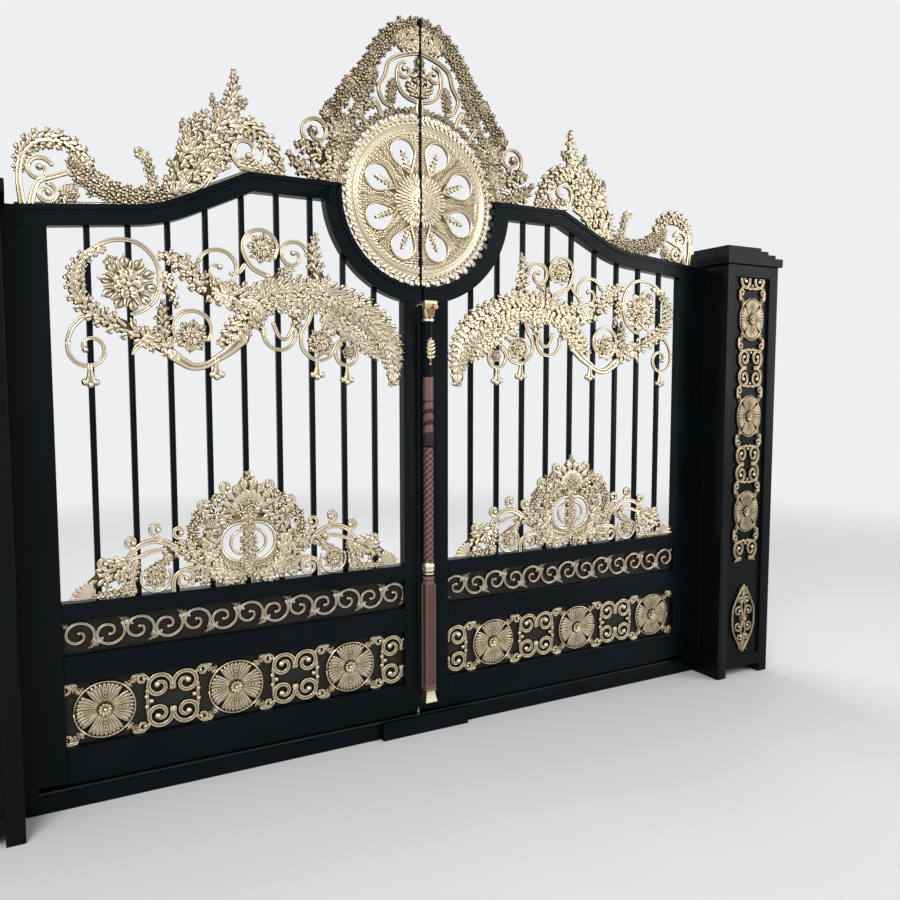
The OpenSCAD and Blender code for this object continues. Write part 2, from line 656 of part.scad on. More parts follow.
// Column on the right leaf's meeting stile
column_x = column_r + half_seam - meeting_step;
column_y = -frame_t / 2 - seat - column_r;
column_z = leaf_z + 45;
square_z = column_z + column_foot_h;
collar_z = square_z + square_shaft_h;
twist_z = collar_z + collar_h;
banded_z = twist_z + twist_h;
neck_z = banded_z + banded_h;
capital_z = hoop_z - hoop_out_r - leaf_clearance - capital_h;
module on_column(z) {
  translate([column_x, column_y, z]) children();
}
shaft_r = column_r - 3;
module column_shaft() {
  sunk = 3;
  strands = 4;
  turns = 5;
  color("#6b4a3c") {
    on_column(square_z) difference() {
      translate([-column_r, -column_r, 0]) cube([2 * column_r, 2 * column_r, square_shaft_h]);
      translate([-column_r + 9, -column_r - 1, 18])
        cube([2 * column_r - 18, sunk + 1, square_shaft_h - 36]);
    }
    on_column(twist_z) linear_extrude(twist_h, twist = -360 * turns / strands, slices = 30, $fn = 8)
      polygon([for (i = [0 : 4 * strands - 1]) let (a = 90 * i / strands)
        (shaft_r - 2 + 2 * cos(strands * a)) * [cos(a), sin(a)]]);
    on_column(banded_z) cylinder(r = shaft_r, h = banded_h);
  }
}
module column_neck() {
  color("#101214") on_column(neck_z) cylinder(r = shaft_r, h = capital_z - neck_z);
}
// Turned casting: its outline as shares of the column's radius and of its height
module turned(h, outline) {
  rotate_extrude() polygon(concat([[0, h], [0, 0]],
    [for (p = outline) [p[0] * column_r, p[1] * h]]));
}
module column_castings() {
  foot_out = 5;
  step = column_foot_h / 4;
  leaf_t = 8;
  color("#d9c9a0") {
    on_column(column_z) {
      translate([-column_r, -column_r - foot_out, 0])
        cube([2 * column_r + foot_out, 2 * column_r + foot_out, step]);
      translate([0, 0, step]) turned(column_foot_h - step, [[1, 0], [1, 0.15], [0.8, 0.35],
        [0.74, 0.55], [0.82, 0.72], [1, 0.85], [1, 1]]);
    }
    on_column(collar_z) turned(collar_h, [[1, 0], [1, 0.2], [0.82, 0.35], [0.82, 0.62], [1, 0.8],
      [1, 1]]);
    on_column(capital_z) turned(capital_h, [[0.8, 0], [0.92, 0.08], [0.8, 0.18], [0.84, 0.4],
      [1, 0.7], [0.9, 0.8], [1, 0.9], [1, 1]]);
    translate([column_x, 0, neck_z + 56]) upright(column_y - shaft_r - leaf_t, leaf_t)
      joined() leafy([[0, 0], [0, 40], [0, 80], [0, 108]], [26, 40, 36, 8], 6);
  }
}

ground_sill();
centre_stop();
post(-1);  // left_post
post(1);  // right_post
post_cap(-1);  // left_post_cap
post_cap(1);  // right_post_cap
post_scroll_panel(-1);  // left_post_scroll_panel
post_scroll_panel(1);  // right_post_scroll_panel
post_oval(-1);  // left_post_oval
post_oval(1);  // right_post_oval
hinge_pins(-1);  // left_hinge_pins
hinge_pins(1);  // right_hinge_pins
hinge_stile(-1);  // left_hinge_stile
hinge_stile(1);  // right_hinge_stile
meeting_stile(-1);  // left_meeting_stile
meeting_stile(1);  // right_meeting_stile
cross_rails(-1);  // left_cross_rails
cross_rails(1);  // right_cross_rails
top_rail(-1);  // left_top_rail
top_rail(1);  // right_top_rail
bars(-1);  // left_bars
bars(1);  // right_bars
back_sheets(-1);  // left_back_sheets
back_sheets(1);  // right_back_sheets
hinge_knuckles(-1);  // left_hinge_knuckles
hinge_knuckles(1);  // right_hinge_knuckles
scroll_band(-1);  // left_scroll_band
scroll_band(1);  // right_scroll_band
rosette_band(-1);  // left_rosette_band
rosette_band(1);  // right_rosette_band
lower_crest(-1);  // left_lower_crest
lower_crest(1);  // right_lower_crest
festoon(-1);  // left_festoon
festoon(1);  // right_festoon
top_crest(-1);  // left_top_crest
top_crest(1);  // right_top_crest
pediment(-1);  // left_pediment
pediment(1);  // right_pediment
medallion(-1);  // left_medallion
medallion(1);  // right_medallion
column_shaft();
column_neck();
column_castings();
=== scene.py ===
"""Dresses a double-leaf driveway gate: frame, castings, column, posts, studio and camera."""

import json
import logging
import math
import random
from dataclasses import dataclass, field
from enum import Enum
from typing import Callable, Sequence

import bmesh
import bpy
import numpy as np
from mathutils import Matrix, Vector


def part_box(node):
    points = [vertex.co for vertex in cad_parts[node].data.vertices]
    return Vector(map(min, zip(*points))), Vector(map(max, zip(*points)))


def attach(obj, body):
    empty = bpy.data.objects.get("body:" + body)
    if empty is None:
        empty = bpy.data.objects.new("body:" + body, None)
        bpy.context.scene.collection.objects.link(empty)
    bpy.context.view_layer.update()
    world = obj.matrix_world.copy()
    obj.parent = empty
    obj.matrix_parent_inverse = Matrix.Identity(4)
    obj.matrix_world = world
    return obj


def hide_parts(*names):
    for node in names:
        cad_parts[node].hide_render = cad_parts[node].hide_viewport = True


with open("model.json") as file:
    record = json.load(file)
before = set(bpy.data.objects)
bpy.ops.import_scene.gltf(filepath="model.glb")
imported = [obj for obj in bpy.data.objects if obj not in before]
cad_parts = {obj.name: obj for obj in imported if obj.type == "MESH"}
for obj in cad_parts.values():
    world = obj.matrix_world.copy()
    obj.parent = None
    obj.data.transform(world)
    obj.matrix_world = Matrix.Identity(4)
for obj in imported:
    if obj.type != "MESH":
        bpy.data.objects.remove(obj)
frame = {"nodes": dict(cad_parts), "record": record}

LOG = logging.getLogger("gate")
MM = 0.001
EAST = np.array([1.0, 0.0])
# How much wider than drawn a stem or scroll is
STEM_BULK = 1.3
# Front, least back and random part of the back of the web behind leaves and blossoms
WEB_CREST, WEB_BACK, WEB_SPARE = 3.3, 3.2, 0.8
# Share of its relief value that a web keeps, which paints shade on it between the leaves
WEB_SHADE_SHARE = 0.3
# Spacing of a band's leaves as a share of its mean width, the least one and the most
FINE_PITCH, BOLD_PITCH = (0.22, 24, 28), (0.66, 9, 40)
# Mean width over which a bold band has wide rows
WIDE_FROM = 66
# Reach, splay, density, base and longest leaf of each row of leaves
FINE_ROWS = ((1.0, 42, 0.8, 0.0, 60.0), (0.84, 40, 1.0, 1.5, 52.0), (0.64, 37, 1.0, 3.0, 48.0),
             (0.44, 33, 1.0, 4.5, 46.0), (0.2, 24, 0.9, 6.0, 44.0))
NARROW_ROWS = ((1.04, 38, 1.0, 0.0, 70.0), (0.5, 26, 1.4, 4.0, 40.0))
WIDE_ROWS = ((1.04, 40, 1.0, 0.0, 66.0), (0.66, 36, 1.1, 3.0, 56.0), (0.26, 22, 1.2, 6.0, 46.0))
# Spacing of blossoms along and across a band
POSY_PITCH, POSY_WIDTH = 23, 25
# Width of the leaf's opening in the drawings of its castings
DRAWN_W = 1290
# Middle and height of the drawing of a run of rosettes
RUN_MIDDLE, RUN_H = 112.5, 225
# Distance of a casting's plane from the front of a band's node, and from the back of a post's
BAND_DEPTH, POST_DEPTH = 8, 4
# Gap between the sill and the strips on the leaves
STRIP_GAP = 4
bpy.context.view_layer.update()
Pair = Sequence[float]
Triple = tuple[float, float, float]


class Side(Enum):
    """The two leaves, as the sign of their X."""

    LEFT = -1
    RIGHT = 1

    @property
    def word(self) -> str:
        """Name that the side's nodes start with."""
        return self.name.lower()

    @property
    def body(self) -> str:
        """Body that the side's leaf moves with."""
        return f"{self.word}_leaf"


class Cast(Enum):
    """Record slots of the castings."""

    GOLD = "gold_casting"
    ANTIQUE = "antique_casting"
    PALE = "pale_gold"


class Pattern(Enum):
    """Small forms that are set on a casting by the hundred."""

    LEAFLET = "leaflet"
    ACANTHUS = "acanthus"
    LEFT = "left_leaf"
    RIGHT = "right_leaf"
    PETAL = "petal"
    PEARL = "pearl"


TURNED_OVER = {Pattern.LEFT: Pattern.RIGHT, Pattern.RIGHT: Pattern.LEFT}


class Profile(Enum):
    """Cross-sections of the swept bars: across and rise, as shares of half width and height."""

    ROUND = ((1, 0), (0.71, 0.71), (0, 1), (-0.71, 0.71), (-1, 0), (-0.71, -0.71), (0, -1),
             (0.71, -0.71))
    GROOVED = ((1, 0), (0.86, 0.74), (0.52, 1), (0.16, 0.6), (-0.16, 0.6), (-0.52, 1),
               (-0.86, 0.74), (-1, 0), (-0.7, -1), (0.7, -1))
    FLAT = ((1, 0), (0.97, 1), (-0.97, 1), (-1, 0), (-0.97, -1), (0.97, -1))
    FAN = ((1, 0), (0.9, 0.45), (0.5, 0.9), (0, 1), (-0.5, 0.9), (-0.9, 0.45), (-1, 0),
           (-0.9, -1), (0.9, -1))


def smooth(points: Sequence[Pair], steps: int = 6) -> np.ndarray:
    """Runs a smooth curve through points.

    Args:
        points: Points in the plane of a casting.
        steps: Stretches between two points.

    Returns:
        The curve's points, one row each.
    """
    p = np.array(points, float)
    rows = []
    for i in range(len(p) - 1):
        a, b = p[max(i - 1, 0)], p[i]
        c, d = p[i + 1], p[min(i + 2, len(p) - 1)]
        for t in np.arange(steps) / steps:
            rows.append(0.5 * (2 * b + (c - a) * t + (2 * a - 5 * b + 4 * c - d) * t**2
                               + (3 * b - a - 3 * c + d) * t**3))
    rows.append(p[-1])
    return np.array(rows)


def arc(centre: Pair, radius: float, start: float, sweep: float, step: float = 8) -> np.ndarray:
    """Points of an arc, with its angles in degrees."""
    a = np.radians(start + sweep * np.linspace(0, 1, max(2, int(abs(sweep) / step) + 1)))
    return np.array(centre) + radius * np.c_[np.cos(a), np.sin(a)]


def spiral(centre: Pair, r0: float, r1: float, start: float, sweep: float) -> np.ndarray:
    """Points of a scroll that winds from radius r0 to r1, with its angles in degrees."""
    t = np.linspace(0, 1, max(8, int(abs(sweep) / 9)))
    a = np.radians(start + sweep * t)
    r = r0 + (r1 - r0) * t**1.4
    return np.array(centre) + r[:, None] * np.c_[np.cos(a), np.sin(a)]


def at(values: Sequence, share: float) -> np.ndarray:
    """Value at a share from 0 to 1 of a list whose entries are spread evenly."""
    v = np.array(values, float)
    s = min(max(share, 0.0), 1.0) * (len(v) - 1)
    i = min(int(s), len(v) - 2)
    return v[i] + (v[i + 1] - v[i]) * (s - i)


def heading(path: np.ndarray, share: float) -> np.ndarray:
    """Direction of a path at a share of its points."""
    d = at(path, share + 0.02) - at(path, share - 0.02)
    return d / max(np.linalg.norm(d), 1e-9)


def turned(v: np.ndarray, degrees: float) -> np.ndarray:
    """A direction in the plane, turned by an angle."""
    a = math.radians(degrees)
    return np.array([v[0] * math.cos(a) - v[1] * math.sin(a),
                     v[0] * math.sin(a) + v[1] * math.cos(a)])


def way(degrees: float) -> np.ndarray:
    """Direction in the plane at an angle from the drawing's X."""
    return turned(EAST, degrees)


def run_of(path: np.ndarray) -> float:
    """Length of a path."""
    return float(np.linalg.norm(np.diff(path, axis=0), axis=1).sum())


def ring_faces(start: int, rings: int, around: int) -> list[tuple[int, ...]]:
    """Faces between rings of corners that follow one another from a start."""
    faces = []
    for first in range(start, start + (rings - 1) * around, around):
        for k in range(around):
            a, b = first + k, first + (k + 1) % around
            faces.append((a, b, b + around, a + around))
    return faces


@dataclass(frozen=True)
class Mirror:
    """Mirrors a drawing about a point.

    Args:
        x: -1 to mirror it left to right, or 1.
        z: -1 to mirror it top to bottom, or 1.
        centre: Point that all other points are given from.
    """

    x: int
    z: int = 1
    centre: Pair = (0.0, 0.0)

    def point(self, p: Pair) -> np.ndarray:
        """Mirrors a point."""
        return np.array(self.centre, float) + np.array([self.x * p[0], self.z * p[1]])

    def line(self, *points: Pair) -> list[np.ndarray]:
        """Mirrors several points."""
        return [self.point(p) for p in points]

    def turn(self, start: float, sweep: float) -> Pair:
        """Mirrors an arc's start and sweep."""
        a = start if self.z > 0 else -start
        return (a if self.x > 0 else 180 - a), sweep * self.x * self.z


def four_ways(centre: Pair) -> list[Mirror]:
    """Every way to mirror a drawing about a point."""
    return [Mirror(x, z, centre) for x in (1, -1) for z in (1, -1)]


@dataclass(frozen=True)
class Strand:
    """Ornament along a curve, with widths spread evenly along it."""

    points: Sequence[Pair]
    widths: Sequence[float]


@dataclass(frozen=True)
class Vine(Strand):
    """Leafy band, with fine leaves like a feather or with bold ones."""

    fine: bool = False


class Posies(Strand):
    """Band of small blossoms."""


class Stem(Strand):
    """Round stem."""


@dataclass(frozen=True)
class Scroll:
    """Stem that winds in and ends in a ball."""

    centre: Pair
    r0: float
    r1: float
    start: float
    sweep: float
    width: float = 12


@dataclass(frozen=True)
class Flower:
    """Open flower with pointed outer leaves, three rings of petals and a boss."""

    centre: Pair
    radius: float
    petals: int = 8


@dataclass(frozen=True)
class Bud:
    """Hanging bud that ends in three lobes."""

    centre: Pair
    height: float


Ornament = Strand | Scroll | Flower | Bud


@dataclass
class Relief:
    """Collects the raised forms of one casting, in millimetres, in the casting's own plane.

    Args:
        place: Turns a drawn point into X and Z of the leaf, in millimetres.
        scale: Mean stretch from the drawing to the leaf, used for widths.
    """

    place: Callable[[np.ndarray], np.ndarray] = lambda p: p
    scale: float = 1.0
    verts: list = field(default_factory=list)
    faces: list = field(default_factory=list)
    height: list = field(default_factory=list)
    marks: dict = field(default_factory=lambda: {kind: [] for kind in Pattern})

    def sweep(self, path: np.ndarray, widths: Sequence[float], crest: float, back: float = 3.0,
              base: float = 0.0, profile: Profile = Profile.ROUND) -> None:
        """Adds a closed bar along a path.

        Args:
            path: Drawn points of the bar's middle.
            widths: Drawn widths, spread evenly along it.
            crest: Height of its front above the base.
            back: Depth of its back below the base.
            base: Height of its widest line.
            profile: Its cross-section.
        """
        p = self.place(np.asarray(path, float))
        n, sides = len(p), len(profile.value)
        start = len(self.verts)
        # Relief values rise towards the crest as a painted highlight; a web keeps less of them, as
        # a painted shade
        tone = WEB_SHADE_SHARE if profile is Profile.FAN else 1.0
        for i in range(n):
            d = p[min(i + 1, n - 1)] - p[max(i - 1, 0)]
            d /= max(np.linalg.norm(d), 1e-9)
            across = np.array([-d[1], d[0]])
            half = at(widths, i / (n - 1)) * self.scale / 2
            for u, rise in profile.value:
                xz = p[i] + across * half * u
                self.verts.append((xz[0], base + rise * (crest if rise > 0 else back), xz[1]))
                self.height.append(max(rise, 0.0) * tone)
        self.faces += ring_faces(start, n, sides)
        self.faces.append(tuple(start + k for k in range(sides))[::-1])
        self.faces.append(tuple(start + (n - 1) * sides + k for k in range(sides)))

    def dome(self, centre: Pair, radius: float, crest: float, back: float = 3.0,
             base: float = 0.0, around: int = 12, rings: int = 3) -> None:
        """Adds a round boss, closed at the back.

        Args:
            centre: Its middle, as drawn.
            radius: Its radius, as drawn.
            crest: Height of its top above the base.
            back: Depth of its back below the base.
            base: Height of its widest ring.
            around: Corners in each ring.
            rings: Number of rings.
        """
        c = self.place(np.array([centre], float))[0]
        r = radius * self.scale
        start = len(self.verts)
        # Relief values rise towards the top: a painted highlight
        for angle in (math.pi / 2 * (j / rings) for j in range(rings)):
            for k in range(around):
                a = 2 * math.pi * k / around
                self.verts.append((c[0] + r * math.cos(angle) * math.cos(a),
                                   base + crest * math.sin(angle),
                                   c[1] + r * math.cos(angle) * math.sin(a)))
                self.height.append(0.25 + 0.75 * math.sin(angle))
        top, low = len(self.verts), len(self.verts) + 1
        self.verts += [(c[0], base + crest, c[1]), (c[0], base - back, c[1])]
        self.height += [1.0, 0.0]
        self.faces += ring_faces(start, rings, around)
        last = start + (rings - 1) * around
        for k in range(around):
            self.faces.append((last + k, last + (k + 1) % around, top))
            self.faces.append((start + (k + 1) % around, start + k, low))

    def knob(self, centre: Pair, radius: float, crest: float, back: float = 3.0) -> None:
        """Adds a small boss with few faces."""
        self.dome(centre, radius, crest, back, 0, 8, 2)

    def mark(self, kind: Pattern, foot: np.ndarray, aim: np.ndarray, length: float, width: float,
             rise: float, base: float = 0.0) -> None:
        """Notes one small form.

        Args:
            kind: Its pattern.
            foot: Drawn point that it starts from.
            aim: Direction that it points in.
            length: Its drawn length.
            width: Its drawn width.
            rise: Height of its top above the base.
            base: Height of its foot.
        """
        ends = self.place(np.array([foot, foot + aim * length]))
        d = ends[1] - ends[0]
        self.marks[kind].append((ends[0][0], base, ends[0][1], d[0], d[1],
                                 float(np.linalg.norm(d)), width * self.scale, rise))

    def pearl(self, centre: Pair, radius: float, base: float = 0.0) -> None:
        """Notes one pearl."""
        self.mark(Pattern.PEARL, np.array(centre, float), EAST, radius, radius, radius, base)

    def web(self, path: np.ndarray, widths: Sequence[float], share: float) -> random.Random:
        """Adds the thin web of a band.

        Args:
            path: Points of its middle.
            widths: Drawn widths of the band.
            share: Width of the web as a share of the band's.

        Returns:
            The band's own random numbers.
        """
        dice = random.Random(len(self.verts))
        self.sweep(path, [share * w for w in widths], WEB_CREST,
                   WEB_BACK + WEB_SPARE * dice.random(), 0, Profile.FAN)
        return dice

    def leaf_row(self, v: Vine, path: np.ndarray, pitch: float, row: Sequence[float],
                 dice: random.Random) -> None:
        """Adds one row of a leafy band's leaves, on both sides of its rib.

        Args:
            v: The band.
            path: Points of its middle.
            pitch: Spacing of its leaves.
            row: Reach, splay, density, base and longest leaf.
            dice: The band's random numbers.
        """
        reach, splay, dense, base, longest = row
        length = run_of(path)
        count = max(2, round(length * dense / pitch))
        for k in range(count):
            for hand in (1, -1):
                share = (k + 0.8 + 0.2 * hand * (reach < 1)) / count
                w = float(at(v.widths, share)) * reach / 2
                lean = math.radians(splay + dice.uniform(-6, 6))
                long = min(w / math.sin(lean), longest) * dice.uniform(0.9, 1.05)
                foot_share = max(0.0, share - long * math.cos(lean) / length)
                ahead = heading(path, (share + foot_share) / 2)
                foot = (at(path, foot_share)
                        + turned(ahead, 90 * hand) * max(0.0, w - long * math.sin(lean)))
                kind, fat = Pattern.LEAFLET, 0.62
                if reach == 1.0 or (dice.random() < 0.35 if v.fine else reach >= 0.6):
                    kind, fat = (Pattern.LEFT if hand > 0 else Pattern.RIGHT), 1.0
                self.mark(kind, foot, turned(ahead, hand * (math.degrees(lean) - 4)), long,
                          min(fat * pitch / dense, 0.66 * long), 0.2 * long + 3,
                          base + dice.uniform(-1.5, 1.5))

    def vine(self, v: Vine) -> None:
        """Adds a leafy band: a web, and rows of leaves that overlap from its edges to its rib."""
        path = smooth(v.points)
        dice = self.web(path, v.widths, 0.68)
        mean = sum(v.widths) / len(v.widths)
        part, least, most = FINE_PITCH if v.fine else BOLD_PITCH
        pitch = min(max(part * mean, least), most)
        for row in FINE_ROWS if v.fine else WIDE_ROWS if mean > WIDE_FROM else NARROW_ROWS:
            self.leaf_row(v, path, pitch, row, dice)
        tip, end = at(path, 0.88), path[-1]
        reach = float(np.linalg.norm(end - tip))
        self.mark(Pattern.ACANTHUS, tip, (end - tip) / reach, reach,
                  max(v.widths[-1], 0.6 * reach), 9, 4)

    def posies(self, v: Posies) -> None:
        """Adds a band of small five-lobed blossoms set close together, each turned at random."""
        path = smooth(v.points)
        dice = self.web(path, v.widths, 0.72)
        steps = max(2, round(run_of(path) / POSY_PITCH))
        for k in range(steps):
            share = (k + 0.5) / steps
            w, ahead = float(at(v.widths, share)), heading(path, share)
            count = max(1, round(w / POSY_WIDTH))
            for i in range(count):
                off = (i + 0.5 + (0.2 if k % 2 else -0.2)) / count - 0.5
                c = at(path, share) + turned(ahead, 90) * off * 0.9 * w
                turn, base = dice.uniform(0, 72), dice.uniform(1, 6)
                size = dice.uniform(12, 16)
                for j in range(5):
                    aim = turned(ahead, turn + 72 * j)
                    self.mark(Pattern.PETAL, c + aim * 2, aim, size, 0.8 * size, 7, base)
                self.pearl(c, 4.5, base + 5)

    def stem(self, s: Stem) -> None:
        """Adds a grooved stem with rounded ends."""
        path, widths = smooth(s.points), [STEM_BULK * w for w in s.widths]
        self.sweep(path, widths, 9, 4, 0, Profile.GROOVED)
        for i in (0, -1):
            self.knob(path[i], 0.5 * widths[i], 8, 3.5)

    def scroll(self, s: Scroll) -> None:
        """Adds a grooved scroll and the ball at its inner end."""
        path = spiral(s.centre, s.r0, s.r1, s.start, s.sweep)
        wide = STEM_BULK * s.width
        self.sweep(path, [wide, wide, 0.75 * wide], 9, 4, 0, Profile.GROOVED)
        self.dome(path[-1], 0.72 * wide, 13, 4, 1)
        self.knob(path[0], 0.5 * wide, 8, 3.5)

    def flower(self, f: Flower) -> None:
        """Adds a flower: pointed outer leaves, rings of petals and a rose at its heart."""
        c, r = np.array(f.centre, float), f.radius
        self.dome(c, 0.5 * r, 4, 4)
        for k in range(2 * f.petals):
            aim, short = way(180 * k / f.petals + 9), k % 2
            self.mark(Pattern.LEAFLET if short else Pattern.ACANTHUS, c + aim * 0.2 * r, aim,
                      (0.84 - 0.2 * short) * r, (3.9 - 1.7 * short) * r / f.petals,
                      0.12 * r + 3, 1.0)
        for reach, petals, base in ((0.46, 8, 4.0), (0.34, 6, 8.5), (0.2, 5, 12.0)):
            for k in range(petals):
                aim = way(360 * (k + base / 9) / petals)
                self.mark(Pattern.PETAL, c + aim * 0.06 * r, aim, reach * r,
                          6.6 * reach * r / petals, 0.12 * r + 3, base)
        self.dome(c, 0.09 * r + 2, 6, 0, 14, 8)

    def bud(self, b: Bud) -> None:
        """Adds a hanging bud that flares like a bell."""
        c, h = np.array(b.centre, float), b.height
        self.sweep(np.array([c + [0, z * h] for z in (0.1, -0.2, -0.45, -0.66, -0.8)]),
                   [0.24 * h, 0.22 * h, 0.3 * h, 0.44 * h, 0.56 * h], 9, 4, 0, Profile.GROOVED)
        for x in (-0.22, 0.0, 0.22):
            self.dome(c + [x * h, (abs(x) / 2 - 0.84) * h], 0.16 * h, 11, 4)

    def add(self, *ornaments: Ornament) -> None:
        """Adds ornaments of any kind."""
        makers = {Vine: self.vine, Posies: self.posies, Stem: self.stem, Scroll: self.scroll,
                  Flower: self.flower, Bud: self.bud}
        for item in ornaments:
            makers[type(item)](item)


def mesh_object(name: str, verts: Sequence, faces: Sequence,
                tones: Sequence[float] | None = None) -> bpy.types.Object:
    """Makes a mesh object at the origin.

    Args:
        name: Name of the piece.
        verts: Places of its corners, in metres.
        faces: Corners of each face.
        tones: Relief value at each corner.

    Returns:
        The new object, linked to the scene.
    """
    mesh = bpy.data.meshes.new(name)
    mesh.from_pydata([tuple(v) for v in verts], [], faces)
    if tones is not None:
        mesh.attributes.new("relief", "FLOAT", "POINT").data.foreach_set("value", list(tones))
    obj = bpy.data.objects.new(name, mesh)
    bpy.context.scene.collection.objects.link(obj)
    return obj


def closed_object(name: str, verts: Sequence, faces: Sequence,
                  tones: Sequence[float]) -> bpy.types.Object:
    """Makes a closed object, smooth and with every face turned outwards.

    Args:
        name: Name of the piece.
        verts: Places of its corners, in metres.
        faces: Corners of each face.
        tones: Relief value at each corner.

    Returns:
        The new object, linked to the scene.
    """
    obj = mesh_object(name, verts, faces, tones)
    bm = bmesh.new()
    bm.from_mesh(obj.data)
    bmesh.ops.recalc_face_normals(bm, faces=bm.faces)
    bm.to_mesh(obj.data)
    bm.free()
    obj.data.shade_smooth()
    return obj


def solid_mesh(verts: Sequence, faces: Sequence, tones: Sequence[float],
               unit: float = MM) -> bpy.types.Mesh:
    """Makes one closed mesh that no object uses yet.

    Args:
        verts: Places of its corners.
        faces: Corners of each face.
        tones: Relief value at each corner.
        unit: Unit of the places, in metres.

    Returns:
        The mesh.
    """
    obj = closed_object("part", [[c * unit for c in v] for v in verts], faces, tones)
    mesh = obj.data
    bpy.data.objects.remove(obj)
    return mesh


def prism(outline: Sequence[Pair], low: float, high: float, tone: float) -> bpy.types.Mesh:
    """Makes an upright prism.

    Args:
        outline: X and Y of its corners, in millimetres.
        low: Height of its foot.
        high: Height of its top.
        tone: Relief value of every corner.

    Returns:
        The prism's mesh.
    """
    n = len(outline)
    verts = [(x, y, z) for z in (low, high) for x, y in outline]
    faces = ring_faces(0, 2, n) + [tuple(range(n)), tuple(range(n, 2 * n))]
    return solid_mesh(verts, faces, [tone] * len(verts))


def join_meshes(name: str, parts: Sequence[bpy.types.Mesh],
                crease: float | None = None) -> bpy.types.Object:
    """Joins meshes into one object at the origin and keeps their relief values.

    Args:
        name: Name of the piece.
        parts: Its meshes.
        crease: Angle in radians from which its edges stay sharp.

    Returns:
        The new object, linked to the scene.
    """
    bm = bmesh.new()
    for part in parts:
        bm.from_mesh(part)
    obj = mesh_object(name, [], [])
    bm.to_mesh(obj.data)
    bm.free()
    obj.data.shade_smooth()
    if crease is not None:
        obj.data.set_sharp_from_angle(angle=crease)
    return obj


def pattern_object(name: str, corners: Sequence[Triple], tones: Sequence[float], tip: Triple,
                   bend: float = 0.0) -> bpy.types.Object:
    """Makes a small form from rings of six corners and a tip, closed at its foot.

    Args:
        name: Name of the pattern.
        corners: Corners of the rings, from the foot on.
        tones: Relief value of each corner.
        tip: Place of the tip.
        bend: How far the tip bends to the left, as a share of the form's width.

    Returns:
        The pattern's object.
    """
    end = len(corners)
    verts = [(x, y + bend * x * x, z) for x, y, z in (*corners, tip)]
    faces = ring_faces(0, end // 6, 6)
    faces += [(end - 6 + k, end - 6 + (k + 1) % 6, end) for k in range(6)]
    faces.append(tuple(range(5, -1, -1)))
    return closed_object(name, verts, faces, [*tones, 1.0])


def ribbed_leaf(name: str, rows: Sequence[Triple], valley: float, tip: Pair) -> bpy.types.Object:
    """Makes a leaf of unit length along +X, closed at its back, with a valley down its middle.

    Args:
        name: Name of the pattern.
        rows: Along, half width and rise of each row.
        valley: Rise of the middle as a share of the ridges beside it.
        tip: Along and rise of the tip.

    Returns:
        The pattern's object.
    """
    corners, tones = [], []
    for x, half, rise in rows:
        corners += [(x, -half, 0.2 * rise), (x, -half * 0.55, rise), (x, 0, valley * rise),
                    (x, half * 0.55, rise), (x, half, 0.2 * rise), (x, 0, -0.35)]
        # Ridges get high relief values, the edges and the middle valley low ones: painted highlight
        # and shade
        tones += [0.1, 0.8, 0.3, 0.8, 0.1, 0.0]
    return pattern_object(name, corners, tones, (tip[0], 0.0, tip[1]))


def lobed_leaf(name: str, bend: float = 0.0) -> bpy.types.Object:
    """Makes an acanthus leaf of unit length along +X, whose two pairs of lobes lean forward.

    Args:
        name: Name of the pattern.
        bend: How far its tip bends to the left, as a share of its width.

    Returns:
        The pattern's object.
    """
    rows = [(0.0, 0.12, 0.0, 0.0)]
    for k, full in enumerate((0.5, 0.44)):
        x, more = 0.1 + 0.36 * k, 0.25 * k
        rows += [(x, 0.34 * full, 0.25 + more, 0.0), (x + 0.12, full, 0.5 + more, 0.09),
                 (x + 0.21, 0.92 * full, 0.55 + more, 0.1)]
    rows.append((0.84, 0.17, 0.9, 0.0))
    corners, tones = [], []
    for x, half, rise, lean in rows:
        low, high = (0.7 * rise, rise) if lean > 0 else (0.1 * rise, 0.5 * rise)
        corners += [(x + lean, -half, low), (x + 0.3 * lean, -half * 0.5, high),
                    (x, 0, 0.5 * rise), (x + 0.3 * lean, half * 0.5, high),
                    (x + lean, half, low), (x, 0, -0.3)]
        # Lobes that lean forward get high relief values, the rest low ones: painted highlight and
        # shade
        edge, ridge = (0.9, 1.0) if lean > 0 else (0.0, 0.25)
        tones += [edge, ridge, 0.15, ridge, edge, 0.0]
    return pattern_object(name, corners, tones, (1.0, 0.0, 0.8), bend)


def unit_pearl(name: str) -> bpy.types.Object:
    """Half ball of unit radius, closed at its back."""
    corners, tones = [], []
    for r, rise in ((1.0, 0.0), (0.75, 0.66)):
        for k in range(6):
            a = 2 * math.pi * k / 6
            corners.append((r * math.cos(a), r * math.sin(a), rise))
            # The upper ring gets a higher relief value: a painted highlight
            tones.append(0.2 + rise)
    return pattern_object(name, corners, tones, (0.0, 0.0, 1.0))


def pattern_objects() -> dict[Pattern, bpy.types.Object]:
    """Makes the small form of each pattern."""
    narrow = ((0.0, 0.26, 0.0), (0.25, 0.42, 0.35), (0.6, 0.5, 0.75), (0.88, 0.38, 1.0))
    broad = ((0.0, 0.14, 0.0), (0.35, 0.34, 0.3), (0.7, 0.5, 0.75), (0.92, 0.4, 1.0))
    return {Pattern.LEAFLET: ribbed_leaf("leaflet_pattern", narrow, 0.45, (1.0, 0.9)),
            Pattern.ACANTHUS: lobed_leaf("acanthus_pattern"),
            Pattern.LEFT: lobed_leaf("left_leaf_pattern", 0.26),
            Pattern.RIGHT: lobed_leaf("right_leaf_pattern", -0.26),
            Pattern.PETAL: ribbed_leaf("petal_pattern", broad, 0.55, (0.99, 0.7)),
            Pattern.PEARL: unit_pearl("pearl_pattern")}


